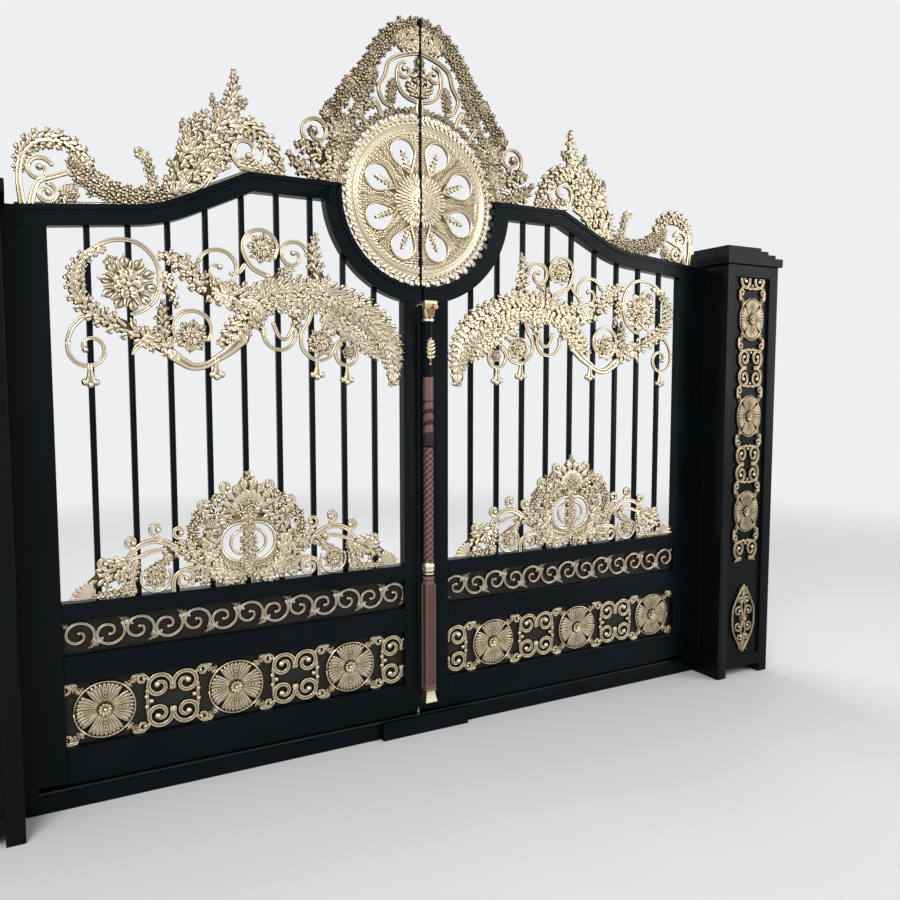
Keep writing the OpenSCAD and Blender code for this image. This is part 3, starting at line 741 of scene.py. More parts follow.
class NodeBook:
    """Adds and links nodes in one tree.

    Args:
        tree: Tree that takes the nodes.
    """

    def __init__(self, tree: bpy.types.NodeTree) -> None:
        """Keeps the tree."""
        self.tree = tree

    def new(self, kind: str, inputs: dict | None = None, **settings: object) -> bpy.types.Node:
        """Adds a node and sets its properties and the values on its inputs."""
        node = self.tree.nodes.new(kind)
        for key, value in settings.items():
            setattr(node, key, value)
        for key, value in (inputs or {}).items():
            node.inputs[key].default_value = value
        return node

    def wire(self, *rows: tuple) -> None:
        """Links sockets: each row has a node, its output, the next node and its input."""
        for source, given, target, taken in rows:
            self.tree.links.new(source.outputs[given], target.inputs[taken])


class LeafSpray:
    """Geometry Nodes tree that sets a pattern on every point, aimed and sized by attributes."""

    def __init__(self) -> None:
        """Builds the tree and its patterns."""
        self.patterns = pattern_objects()
        self.tree = bpy.data.node_groups.new("leaf_spray", "GeometryNodeTree")
        face = self.tree.interface
        face.new_socket("Geometry", in_out="INPUT", socket_type="NodeSocketGeometry")
        self.pattern_id, self.finish_id, self.plump_id = (
            face.new_socket(name, in_out="INPUT", socket_type=f"NodeSocket{kind}").identifier
            for name, kind in (("Pattern", "Object"), ("Finish", "Material"),
                               ("Plumpness", "Float")))
        face.new_socket("Geometry", in_out="OUTPUT", socket_type="NodeSocketGeometry")
        book = NodeBook(self.tree)
        given, out = book.new("NodeGroupInput"), book.new("NodeGroupOutput")
        aim, face_way, size = (
            book.new("GeometryNodeInputNamedAttribute", {"Name": key}, data_type="FLOAT_VECTOR")
            for key in ("aim", "face_way", "size"))
        info = book.new("GeometryNodeObjectInfo")
        axes = book.new("FunctionNodeAxesToRotation", primary_axis="X", secondary_axis="Z")
        split, whole = book.new("ShaderNodeSeparateXYZ"), book.new("ShaderNodeCombineXYZ")
        plump = book.new("ShaderNodeMath", operation="MULTIPLY")
        stand = book.new("GeometryNodeInstanceOnPoints")
        real = book.new("GeometryNodeRealizeInstances")
        paint = book.new("GeometryNodeSetMaterial")
        book.wire((given, "Pattern", info, "Object"), (aim, "Attribute", axes, 0),
                  (face_way, "Attribute", axes, 1), (size, "Attribute", split, 0),
                  (split, "Z", plump, 0), (given, "Plumpness", plump, 1),
                  (split, "X", whole, "X"), (split, "Y", whole, "Y"), (plump, 0, whole, "Z"),
                  (given, "Geometry", stand, "Points"), (info, "Geometry", stand, "Instance"),
                  (axes, "Rotation", stand, "Rotation"), (whole, "Vector", stand, "Scale"),
                  (stand, "Instances", real, "Geometry"), (real, "Geometry", paint, "Geometry"),
                  (given, "Finish", paint, "Material"), (paint, "Geometry", out, "Geometry"))

    def grow(self, kind: Pattern, rows: Sequence[Sequence[float]], to_row: Callable,
             front: Vector, finish: bpy.types.Material) -> bpy.types.Mesh:
        """Turns the notes of one pattern into one plain mesh.

        Args:
            kind: Pattern to set.
            rows: Foot, direction and size of each copy, in millimetres.
            to_row: Turns X, height and Z in millimetres into a place in metres.
            front: Direction that the copies face.
            finish: Material that they take.

        Returns:
            The mesh of all copies.
        """
        feet, aims, sizes, ways = [], [], [], []
        for x, h, z, dx, dz, length, width, rise in rows:
            foot, end = Vector(to_row((x, h, z))), Vector(to_row((x + dx, h, z + dz)))
            feet.append(foot)
            aims += list(end - foot)
            sizes += [length * MM, width * MM, rise * MM]
            ways += list(front)
        host = mesh_object("pattern_points", feet, [])
        for key, values in (("aim", aims), ("face_way", ways), ("size", sizes)):
            layer = host.data.attributes.new(key, "FLOAT_VECTOR", "POINT")
            layer.data.foreach_set("vector", values)
        mod = host.modifiers.new("leaf_spray", "NODES")
        mod.node_group = self.tree
        mod[self.pattern_id] = self.patterns[kind]
        mod[self.finish_id] = finish
        mod[self.plump_id] = 1.0
        graph = bpy.context.evaluated_depsgraph_get()
        made = bpy.data.meshes.new_from_object(host.evaluated_get(graph))
        host.modifiers.remove(mod)
        bpy.data.objects.remove(host)
        return made

    def clear(self) -> None:
        """Deletes the patterns once every casting is made."""
        for obj in self.patterns.values():
            bpy.data.objects.remove(obj)


def cut_at(obj: bpy.types.Object, axis: int, place: float, keep: int) -> None:
    """Cuts a mesh by a plane across one axis and closes the cut.

    Args:
        obj: Object to cut.
        axis: 0 for a plane across X, 2 for one across Z.
        place: Where the plane crosses the axis, in metres.
        keep: 1 to keep what lies beyond the plane, -1 for what lies before it.
    """
    point, normal = [0.0] * 3, [0.0] * 3
    point[axis], normal[axis] = place, keep
    bm = bmesh.new()
    bm.from_mesh(obj.data)
    geom = bm.verts[:] + bm.edges[:] + bm.faces[:]
    bmesh.ops.bisect_plane(bm, geom=geom, dist=1e-7, plane_co=point, plane_no=normal,
                           clear_inner=True)
    rim = [e for e in bm.edges if e.is_boundary]
    bmesh.ops.holes_fill(bm, edges=rim, sides=0)
    bm.to_mesh(obj.data)
    bm.free()


def wear_group() -> bpy.types.NodeTree:
    """Node group for cloudy variation: a broad mask, a fine mask and a bump height."""
    tree = bpy.data.node_groups.new("surface_wear", "ShaderNodeTree")
    face = tree.interface
    for name, value in (("Broad Scale", 4.0), ("Fine Scale", 90.0), ("Contrast", 0.5)):
        face.new_socket(name, in_out="INPUT", socket_type="NodeSocketFloat").default_value = value
    for name in ("Broad", "Fine", "Height"):
        face.new_socket(name, in_out="OUTPUT", socket_type="NodeSocketFloat")
    book = NodeBook(tree)
    given, out = book.new("NodeGroupInput"), book.new("NodeGroupOutput")
    place = book.new("ShaderNodeTexCoord")
    broad = book.new("ShaderNodeTexNoise", {"Detail": 3.0})
    fine = book.new("ShaderNodeTexNoise", {"Detail": 2.0})
    ramp = book.new("ShaderNodeMapRange", {"From Min": 0.35, "From Max": 0.65})
    book.wire((place, "Object", broad, "Vector"), (given, "Broad Scale", broad, "Scale"),
              (place, "Object", fine, "Vector"), (given, "Fine Scale", fine, "Scale"),
              (broad, "Fac", ramp, "Value"), (given, "Contrast", ramp, "To Max"),
              (ramp, "Result", out, "Broad"), (fine, "Fac", out, "Fine"),
              (fine, "Fac", out, "Height"))
    return tree


class Coat(NodeBook):
    """Nodes of a new material, with its shader and its surface wear.

    Args:
        name: Name of the material.
        wear: Node group of the wear.
        broad: Scale of the wear's clouds.
        fine: Scale of its grain.
        bump: Strength and distance of its bump.
    """

    def __init__(self, name: str, wear: bpy.types.NodeTree, broad: float, fine: float,
                 bump: Pair) -> None:
        """Makes the material and bumps its surface."""
        self.material = bpy.data.materials.new(name)
        self.material.use_nodes = True
        super().__init__(self.material.node_tree)
        self.shader = self.tree.nodes["Principled BSDF"]
        self.wear = self.new("ShaderNodeGroup", {"Broad Scale": broad, "Fine Scale": fine},
                             node_tree=wear)
        grain = self.new("ShaderNodeBump", {"Strength": bump[0], "Distance": bump[1]})
        self.wire((self.wear, "Height", grain, "Height"), (grain, "Normal", self.shader, "Normal"))

    def level(self, name: str, value: float) -> None:
        """Sets one input of the shader."""
        self.shader.inputs[name].default_value = value


@dataclass(frozen=True)
class Metalwork:
    """Finish of cast metal, with painted shade in its recesses and a painted highlight on its
    raised parts.

    Args:
        name: Name of the material.
        high: Colour of the raised parts, a painted highlight.
        mid: Colour of the slopes.
        low: Colour of the recesses, a painted shade.
        rough: Roughness of the raised parts.
        metal: Share of metal.
    """

    name: str
    high: Triple
    mid: Triple
    low: Triple
    rough: float = 0.3
    metal: float = 1.0

    def make(self, wear: bpy.types.NodeTree) -> bpy.types.Material:
        """Builds the material."""
        coat = Coat(self.name, wear, 9.0, 260.0, (0.25, 0.0006))
        # The relief value picks the colour between low and high: painted shade and highlight
        height = coat.new("ShaderNodeAttribute", attribute_name="relief")
        lift = coat.new("ShaderNodeMath", {1: 0.3}, operation="MULTIPLY_ADD")
        ramp = coat.new("ShaderNodeMapRange", {"From Min": 0.3, "From Max": 0.9},
                        interpolation_type="SMOOTHSTEP")
        tint = coat.new("ShaderNodeValToRGB")
        stops = tint.color_ramp.elements
        stops[0].color, stops[1].color = (*self.low, 1), (*self.high, 1)
        stops.new(0.45).color = (*self.mid, 1)
        cloud = coat.new("ShaderNodeMix", {"B": (0.9, 0.83, 0.72, 1)}, data_type="RGBA",
                         blend_type="MULTIPLY")
        rough = coat.new("ShaderNodeMapRange", {"To Min": min(1.0, self.rough + 0.25),
                                                "To Max": self.rough})
        coat.wire((coat.wear, "Fine", lift, 0), (height, "Fac", lift, 2),
                  (lift, 0, ramp, "Value"), (ramp, "Result", tint, "Fac"),
                  (coat.wear, "Broad", cloud, "Factor"), (tint, "Color", cloud, "A"),
                  (cloud, "Result", coat.shader, "Base Color"), (ramp, "Result", rough, "Value"),
                  (rough, "Result", coat.shader, "Roughness"))
        coat.level("Metallic", self.metal)
        return coat.material


@dataclass(frozen=True)
class Paint:
    """Finish of painted steel with a soft orange-peel skin and a little dust.

    Args:
        name: Name of the material.
        colour: Colour of the paint.
        dusty: Colour that the broad clouds turn to.
        rough: Roughness.
        gloss: Specular level.
    """

    name: str
    colour: Triple
    dusty: Triple
    rough: float = 0.3
    gloss: float = 0.2

    def make(self, wear: bpy.types.NodeTree) -> bpy.types.Material:
        """Builds the material."""
        coat = Coat(self.name, wear, 3.0, 420.0, (0.12, 0.0003))
        tint = coat.new("ShaderNodeMix", data_type="RGBA")
        tint.inputs["A"].default_value = (*self.colour, 1)
        tint.inputs["B"].default_value = (*self.dusty, 1)
        rough = coat.new("ShaderNodeMapRange", {"To Min": self.rough, "To Max": self.rough + 0.14})
        coat.wire((coat.wear, "Broad", tint, "Factor"),
                  (tint, "Result", coat.shader, "Base Color"),
                  (coat.wear, "Broad", rough, "Value"),
                  (rough, "Result", coat.shader, "Roughness"))
        coat.level("Specular IOR Level", self.gloss)
        return coat.material


class Finishes:
    """All finishes of the gate, by record slot."""

    # The metals' high colours are painted highlight and their low colours painted shade
    recipes = (
        Metalwork("gold_casting", (0.73, 0.65, 0.50), (0.36, 0.285, 0.17), (0.07, 0.05, 0.028)),
        Metalwork("antique_casting", (0.52, 0.47, 0.38), (0.24, 0.20, 0.15),
                  (0.04, 0.033, 0.025), 0.38),
        Metalwork("pale_gold", (0.90, 0.81, 0.62), (0.62, 0.50, 0.32), (0.2, 0.14, 0.08)),
        Metalwork("copper_paint", (0.19, 0.13, 0.10), (0.12, 0.055, 0.042),
                  (0.02, 0.010, 0.008), 0.36, 0.3),
        Paint("frame_paint", (0.001, 0.003, 0.004), (0.003, 0.006, 0.008), gloss=0.085),
        Paint("post_paint", (0.002, 0.003, 0.004), (0.003, 0.005, 0.006), gloss=0.085),
        Paint("sheet_paint", (0.014, 0.012, 0.010), (0.03, 0.027, 0.022), 0.5),
        Paint("hinge_steel", (0.008, 0.009, 0.011), (0.02, 0.02, 0.02), 0.4))

    def __init__(self) -> None:
        """Builds every material once."""
        wear = wear_group()
        self.by_slot = {recipe.name: recipe.make(wear) for recipe in self.recipes}

    def __getitem__(self, key: str) -> bpy.types.Material:
        """Material of a slot."""
        return self.by_slot[key]

    def dress_nodes(self) -> None:
        """Gives every CAD node the material of its slot."""
        for part in frame["record"]["subparts"]:
            node = frame["nodes"][part["node"]]
            node.data.materials.clear()
            node.data.materials.append(self.by_slot[part["material_slot"]])


@dataclass
class Casting:
    """One cast piece on a leaf or post, seen from the front.

    Args:
        node: CAD node that it stands for.
        side: Side of the gate.
        plane: Y of the casting's middle plane, in millimetres.
        relief: Its raised forms.
        body: Body that it rides on.
        slot: Its record slot.
        both_faces: True if its back shows the same relief.
        cuts: Planes that end the piece: axis (0 is the distance from the meeting line, 2 the
            height), place in millimetres, and 1 to keep what lies beyond it or -1 before it.
        pale: Added to its relief values, which makes its recesses lighter.
    """

    node: str
    side: Side
    plane: float
    relief: Relief
    body: str
    slot: Cast = Cast.GOLD
    both_faces: bool = False
    cuts: Sequence[tuple[int, float, int]] = ()
    pale: float = 0.0

    def place(self, p: Pair, hand: int = -1) -> Triple:
        """Place in metres of X, height above the middle plane and Z."""
        return (self.side.value * p[0] * MM, (self.plane + hand * p[1]) * MM, p[2] * MM)

    def shade_by_height(self, mesh: bpy.types.Mesh, cell: float = 4.0, reach: int = 2) -> None:
        """Sets each corner's relief value from its height over what lies around it, which paints
        shade in the recesses and a highlight on what stands out.

        Args:
            mesh: Mesh of the piece.
            cell: Side of a square of the height map, in millimetres.
            reach: Squares on each side that count as its surroundings.
        """
        count = len(mesh.vertices)
        own, place = np.empty(count), np.empty(3 * count)
        layer = mesh.attributes["relief"].data
        layer.foreach_get("value", own)
        mesh.vertices.foreach_get("co", place)
        x, off, z = (place.reshape(-1, 3) / MM).T
        off -= self.plane
        i, j = ((v - v.min()) // cell for v in (x, z))
        i, j = i.astype(int) + reach, j.astype(int) + reach
        value = np.zeros(count)
        for hand in (-1, 1):
            rows = off * hand >= 0
            up = np.abs(off[rows])
            shape = (i.max() + reach + 1, j.max() + reach + 1)
            total, number = np.zeros(shape), np.zeros(shape)
            np.add.at(total, (i[rows], j[rows]), up)
            np.add.at(number, (i[rows], j[rows]), 1.0)
            for axis in (0, 1):
                total = sum(np.roll(total, k, axis) for k in range(-reach, reach + 1))
                number = sum(np.roll(number, k, axis) for k in range(-reach, reach + 1))
            mean = (total / np.maximum(number, 1.0))[i[rows], j[rows]]
            over = np.clip((up - mean) / 4, -1, 1)
            # Lower than the surroundings colours darker, higher colours lighter: painted shade and
            # highlight
            value[rows] = 0.46 * own[rows] + 0.1 * np.clip(up / 13, 0, 1) + 0.22 * (1 + over)
        layer.foreach_set("value", value + self.pale)

    def parts(self, spray: LeafSpray, finish: bpy.types.Material) -> list[bpy.types.Mesh]:
        """Makes its solids and its small forms, for each face that shows relief.

        Args:
            spray: Sets the small forms.
            finish: Material of the small forms.

        Returns:
            The meshes of the piece.
        """
        parts, relief = [], self.relief
        for hand in (-1, 1) if self.both_faces else (-1,):
            parts.append(solid_mesh([self.place(v, hand) for v in relief.verts], relief.faces,
                                    relief.height, 1.0))
            for kind, rows in relief.marks.items():
                if rows:
                    form = TURNED_OVER.get(kind, kind) if self.side.value * hand > 0 else kind
                    parts.append(spray.grow(form, rows, lambda p, h=hand: self.place(p, h),
                                            Vector((0, hand, 0)), finish))
        return parts

    def build(self, spray: LeafSpray, finishes: Finishes) -> None:
        """Makes the piece and hangs it on its body."""
        slot = self.slot.value
        piece = join_meshes(f"{self.node}_cast", self.parts(spray, finishes[slot]))
        self.shade_by_height(piece.data)
        for axis, place, keep in self.cuts:
            sign = self.side.value if axis == 0 else 1
            cut_at(piece, axis, sign * place * MM, sign * keep)
        hang(piece, finishes, slot, self.body, self.node)


def hang(piece: bpy.types.Object, finishes: Finishes, slot: str, body: str, *nodes: str) -> None:
    """Gives a piece its finish and its body, and hides the nodes that it stands for.

    Args:
        piece: The piece.
        finishes: Finishes of the gate.
        slot: Record slot of the piece.
        body: Body that it rides on.
        nodes: CAD nodes that it replaces.
    """
    piece.data.materials.clear()
    piece.data.materials.append(finishes[slot])
    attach(piece, body)
    if nodes:
        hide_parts(*nodes)
    LOG.info("%s: %d faces", piece.name, len(piece.data.polygons))


def span(node: str) -> tuple[np.ndarray, np.ndarray]:
    """Box of a node in millimetres, with X as the distance from the meeting line."""
    lo, hi = (np.array(v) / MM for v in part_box(node))
    xs = sorted((abs(lo[0]), abs(hi[0])))
    return np.array([xs[0], lo[1], lo[2]]), np.array([xs[1], hi[1], hi[2]])


def sill_top() -> float:
    """Height of the ground sill's top."""
    return span("ground_sill")[1][2]


@dataclass(frozen=True)
class LeafFrame:
    """Sizes of one leaf, in millimetres, read from its frame or repeated from its design."""

    side: Side
    corner_x: float = 705
    shoulder_slope: float = 25.5
    shoulder_run: float = 235
    shoulder_r: float = 500
    eave_slope: float = 5.5
    rail_w: float = 70
    hoop_r: float = 346
    hoop_drop: float = 30
    half_seam: float = 5
    bar_w: float = 20

    def node(self, name: str) -> str:
        """Full name of one of the leaf's nodes."""
        return f"{self.side.word}_{name}"

    @property
    def opening(self) -> tuple[float, float]:
        """Nearest and farthest X of the opening between the stiles."""
        lo, hi = span(self.node("cross_rails"))
        return lo[0], hi[0]

    @property
    def opening_cuts(self) -> tuple[tuple[int, float, int], ...]:
        """Planes at the opening's two ends, a hair inside them."""
        return (0, self.opening[0] + 0.5, 1), (0, self.opening[1] - 0.5, -1)

    @property
    def width(self) -> float:
        """Width of the opening."""
        return self.opening[1] - self.opening[0]

    @property
    def end(self) -> float:
        """Outer edge of the leaf."""
        return span(self.node("hinge_stile"))[1][0]

    @property
    def window_z(self) -> float:
        """Top of the rail under the bars."""
        return span(self.node("cross_rails"))[1][2]

    @property
    def crown_z(self) -> float:
        """Top of the top rail's level stretch."""
        return span(self.node("top_rail"))[1][2]

    @property
    def hoop_z(self) -> float:
        """Height of the hoop's centre."""
        return self.crown_z - self.hoop_drop

    @property
    def front(self) -> float:
        """Y of the frame's front face."""
        return span(self.node("hinge_stile"))[0][1]

    @property
    def bar_plane(self) -> float:
        """Y of the plane of the castings that lie in front of the bars."""
        return -self.bar_w / 2 - 5

    @property
    def sweep_centre(self) -> Pair:
        """Centre of the sweep at the foot of the shoulder."""
        slope, r = math.radians(self.shoulder_slope), self.shoulder_r
        return (self.corner_x + self.shoulder_run + r * math.sin(slope),
                self.crown_z - self.shoulder_run * math.tan(slope) + r * math.cos(slope))

    def eave(self, x: float, off: float) -> float:
        """Height of the low stretch, off below its upper edge, at x."""
        (x0, z0), low, r = self.sweep_centre, math.radians(self.eave_slope), self.shoulder_r + off
        return z0 - r * math.cos(low) - (x - x0 + r * math.sin(low)) * math.tan(low)

    def rail_edge(self, off: float, start: float, end: float) -> np.ndarray:
        """Line that runs along the top rail, off below its upper edge."""
        slope, low, r = self.shoulder_slope, self.eave_slope, self.shoulder_r + off
        (x0, z0), top = self.sweep_centre, self.crown_z - off
        knee = self.corner_x - off * math.tan(math.radians(slope / 2))
        bend = [math.radians(slope + (low - slope) * i / 8) for i in range(9)]
        curve = [(x0 - r * math.sin(a), z0 - r * math.cos(a)) for a in bend]
        return np.array([(start, top), (knee, top), *curve, (end, self.eave(end, off))])


def fitted(origin: Pair, drawn: Pair, size: Pair) -> Relief:
    """Starts a relief whose drawing is stretched to a size and set at a place."""
    o, f = np.array(origin, float), np.array(size, float) / np.array(drawn, float)
    return Relief(lambda p: o + p * f, float(np.sqrt(f[0] * f[1])))


class Castings:
    """All castings of one leaf, each drawn in its own plane in millimetres.

    Args:
        leaf: Sizes of the leaf.
    """

    def __init__(self, leaf: LeafFrame) -> None:
        """Keeps the leaf."""
        self.leaf = leaf

    def cast(self, name: str, plane: float, relief: Relief, **settings: object) -> Casting:
        """One casting of the leaf, with any settings that differ from the usual ones."""
        return Casting(self.leaf.node(name), self.leaf.side, plane, relief, self.leaf.side.body,
                       **settings)

    def scroll_band(self) -> Casting:
        """Running scroll in the narrow band."""
        leaf = self.leaf
        lo, hi = span(leaf.node("scroll_band"))
        sheet = span(leaf.node("back_sheets"))
        band_h, scrolls = hi[2] - lo[2] + 2, 13
        drawn = (DRAWN_W, 122)
        relief = fitted((leaf.opening[0], sheet[1][2] - band_h), drawn, (leaf.width, band_h))
        pitch = drawn[0] / scrolls
        for i in range(scrolls):
            c = np.array([(i + 0.5) * pitch, drawn[1] / 2])
            up = 1 if i % 2 == 0 else -1
            relief.add(Scroll(c, 53, 8, 215 if up > 0 else 145, -up * 470, 9),
                       Stem([c + [-50, -up * 22], c + [-66, -up * 34], c + [-78, up * -20]],
                            [9, 9, 8]),
                       Vine([c + [30, up * 34], c + [46, up * 42], c + [61, up * 50]],
                            [8, 18, 8]),
                       Vine([c + [-56, -up * 20], c + [-50, -up * 40], c + [-32, -up * 53]],
                            [6, 16, 6]))
        return self.cast("scroll_band", lo[1] + BAND_DEPTH, relief, slot=Cast.ANTIQUE,
                         cuts=leaf.opening_cuts)

    def rosette_band(self) -> Casting:
        """Rosettes and scrolls in the wide band."""
        leaf = self.leaf
        lo, hi = span(leaf.node("rosette_band"))
        sheet = span(leaf.node("back_sheets"))
        relief = fitted((leaf.opening[0], sheet[0][2]), (DRAWN_W, RUN_H),
                        (leaf.width, hi[2] - lo[2] + 2))
        rosette_run(relief, 3, 462, 238)
        return self.cast("rosette_band", lo[1] + BAND_DEPTH, relief, cuts=leaf.opening_cuts,
                         pale=-0.13)

    @staticmethod
    def crest_half(relief: Relief, m: Mirror) -> None:
        """Draws one half of the low crest.

        Args:
            relief: Relief that takes it.
            m: Mirror of the drawing.
        """
        relief.add(
            Vine(m.line((425, 118), (470, 96), (520, 70), (572, 44)), (60, 92, 76, 24)),
            Vine(m.line((400, 22), (480, 16), (545, 14)), (36, 34, 24)),
            Vine(m.line((398, 130), (414, 84), (430, 24)), (22, 40, 40)),
            Stem(m.line((430, 135), (392, 175), (350, 190), (305, 185), (262, 158)),
                 (12, 16, 16, 22)),
            Stem(m.line((420, 130), (385, 140), (350, 152), (305, 158)), (10, 13, 12)))
        for x, z, r in ((507, 128, 17), (413, 193, 20), (329, 233, 23), (250, 216, 22),
                        (161, 308, 20), (80, 370, 20)):
            relief.add(Scroll(m.point((x, z)), r, 7, *m.turn(-85, 300), 12),
                       Stem(m.line((x - 2, z - r), (x - 12, z - r - 26)), (12, 14)))
        for k in range(6):
            relief.mark(Pattern.PETAL, m.point((540, 12)), way(m.turn(3 + 15 * k, 0)[0]),
                        80 - 4 * k, 17, 9, 9)
        relief.sweep(np.array(m.line(*arc((335, 58), 52, 150, 240))), (10, 12, 10), 6)
        relief.add(
            Flower(m.point((335, 60)), 46),
            Vine(m.line((285, 142), (300, 112), (335, 98), (375, 84)), (24, 36, 34, 10)),
            Scroll(m.point((236, 40)), 34, 8, *m.turn(90, 420), 11),
            Stem(m.line((185, 78), (241, 74), (272, 48), (276, -6)), (16, 13, 14)),
            Vine(m.line((110, 120), (190, 142), (250, 152), (312, 152)), (95, 84, 62, 30)),
            Vine(m.line((90, 60), (165, 52), (222, 26)), (110, 70, 22)),
            Posies(m.line((200, 100), (206, 190), (188, 256), (134, 306), (92, 334)),
                   (40, 48, 50, 48, 36)),
            Vine(m.line((120, 40), (150, 110), (146, 190), (112, 246), (60, 284), (14, 330)),
                 (56, 74, 66, 66, 66, 40)),
            Vine(m.line((150, 20), (186, 60), (196, 110)), (50, 40, 20)),
            Vine(m.line((100, 22), (60, 18), (14, 24)), (50, 56, 40)),
            *(Flower(m.point((x, z)), r, 6)
              for x, z, r in ((150, 244, 26), (178, 176, 20), (152, 66, 22), (60, 330, 20))))
        relief.sweep(arc(m.point((30, 158)), 108, *m.turn(-104, 206)), (64, 70, 66, 70, 60), 3,
                     4, -2 + 0.3 * m.x, Profile.FLAT)
        relief.sweep(np.array(m.line((30, 250), (26, 330), (12, 402))), (110, 84, 16), 3, 4,
                     -1 + 0.3 * m.x, Profile.FLAT)
        for aim, reach, foot in ((80, 100, (6, 312)), (60, 92, (16, 306)), (40, 84, (26, 300)),
                                 (20, 76, (32, 290))):
            relief.mark(Pattern.ACANTHUS, m.point(foot), way(m.turn(aim, 0)[0]), reach,
                        0.38 * reach, 14, 9)
        for x, r, start, sweep, wide in ((30, 73, -112, 224, 12), (20, 46, -86, 172, 10)):
            relief.sweep(arc(m.point((x, 158)), r, *m.turn(start, sweep)),
                         (wide, wide + 2, wide), 7)
        relief.sweep(arc(m.point((28, 158)), 83, *m.turn(-105, 210)), (16, 20, 16), 3, 4, -1)
        for p in arc(m.point((28, 158)), 84, *m.turn(-100, 200)):
            relief.pearl(p, 4.2, 3)

    def lower_crest(self) -> Casting:
        """Low crest on the rail under the bars, with its two crescents."""
        leaf = self.leaf
        relief = fitted((sum(leaf.opening) / 2, leaf.window_z), (DRAWN_W, 430),
                        (leaf.width, 430))
        for x in (1, -1):
            self.crest_half(relief, Mirror(x))
        relief.add(Vine([(0, 50), (0, 158), (0, 262)], (50, 60, 50)),
                   Flower((0, 158), 36, 8), Flower((0, 218), 26, 7), Flower((0, 98), 26, 7),
                   Vine([(110, 66), (56, 40), (-4, 46)], (30, 46, 40)),
                   Vine([(-110, 66), (-56, 40), (4, 46)], (30, 46, 40)),
                   Posies([(-34, 282), (0, 290), (34, 282)], (60, 80, 60)), Flower((0, 284), 24),
                   Vine([(0, 300), (0, 370), (0, 424)], (50, 60, 20)))
        return self.cast("lower_crest", leaf.bar_plane, relief)

    def festoon(self) -> Casting:
        """Large festoon in front of the bars."""
        leaf = self.leaf
        tall = leaf.eave(leaf.opening[1], leaf.rail_w) - leaf.window_z
        relief = fitted((leaf.opening[0], leaf.window_z), (DRAWN_W, 1267), (leaf.width, tall))
        relief.add(
            Vine([(700, 1070), (790, 1095), (840, 1150), (890, 1190), (942, 1196)],
                 (80, 86, 82, 68, 24)),
            Vine([(730, 1072), (600, 1060), (500, 1085), (400, 1090), (300, 1075), (200, 1040),
                  (120, 985), (68, 915), (48, 840), (44, 742)],
                 (80, 120, 140, 145, 135, 140, 140, 120, 95, 40), True),
            Vine([(590, 1055), (640, 985), (690, 930), (738, 892)], (110, 120, 95, 30), True),
            Vine([(965, 895), (1060, 945), (1131, 973), (1190, 1020), (1215, 1076), (1206, 1132),
                  (1175, 1180), (1110, 1208)], (56, 70, 68, 62, 58, 52, 44, 14)),
            Vine([(1000, 915), (934, 880), (880, 838)], (60, 66, 24)),
            Vine([(920, 870), (930, 940), (932, 1000), (931, 1045)], (50, 66, 54, 12)),
            Vine([(930, 1140), (905, 1075), (880, 1018)], (50, 52, 16)),
            Vine([(335, 1100), (367, 1179), (380, 1240), (372, 1290), (364, 1322)],
                 (84, 70, 60, 42, 12)),
            Vine([(345, 1010), (262, 962), (200, 932), (150, 892), (112, 850)],
                 (60, 84, 84, 70, 24), True),
            Vine([(600, 1030), (592, 980), (570, 925)], (60, 44, 14)),
            Vine([(440, 1040), (446, 985), (448, 925)], (70, 54, 16)),
            Vine([(560, 1100), (500, 1160), (480, 1178), (450, 1180)], (60, 50, 34, 12)),
            Stem([(1185, 1182), (1122, 1226), (1062, 1242), (1004, 1232), (962, 1195), (941, 1147),
                  (940, 1095), (957, 1043), (995, 1006), (1036, 990)], (10, 13, 13, 13, 10)),
            Stem([(905, 855), (840, 814), (790, 816), (745, 842), (700, 872), (650, 920)],
                 (34, 22, 20, 26, 40)),
            Stem([(553, 1150), (615, 1180), (646, 1245), (628, 1297), (582, 1317), (538, 1300),
                  (517, 1258), (528, 1215)], (16, 13, 12, 10)),
            Stem([(385, 1030), (400, 985), (425, 940), (424, 888), (386, 847), (346, 842),
                  (308, 862), (288, 900), (252, 930)], (14, 13, 12, 14)),
            Stem([(536, 975), (520, 935), (498, 918), (476, 930), (460, 965)], (12, 12)),
            Stem(arc((512, 940), 62, 15, -210, 20), (12, 12)),
            Stem(arc((245, 866), 44, 140, 280, 20), (12, 12)),
            Stem([(690, 1150), (660, 1158), (640, 1185)], (12, 14)),
            Stem(arc((831, 945), 66, 215, -320, 20), (12, 12)),
            Stem([(1190, 975), (1225, 936), (1240, 893)], (14, 12)),
            Stem([(985, 900), (1020, 880), (1036, 852)], (20, 8)),
            Scroll((1173, 870), 68, 14, 20, -400), Scroll((732, 1160), 78, 12, 20, 440),
            Scroll((456, 1231), 56, 10, 160, -430),
            Flower((1042, 1092), 100, 10), Flower((1095, 1160), 30, 6), Flower((835, 920), 62),
            Flower((576, 1248), 58), Flower((352, 908), 58), Flower((236, 872), 30, 6),
            Bud((1173, 812), 78), Bud((748, 842), 80), Bud((366, 845), 82), Bud((243, 824), 80))
        return self.cast("festoon", leaf.bar_plane, relief, pale=-0.04)

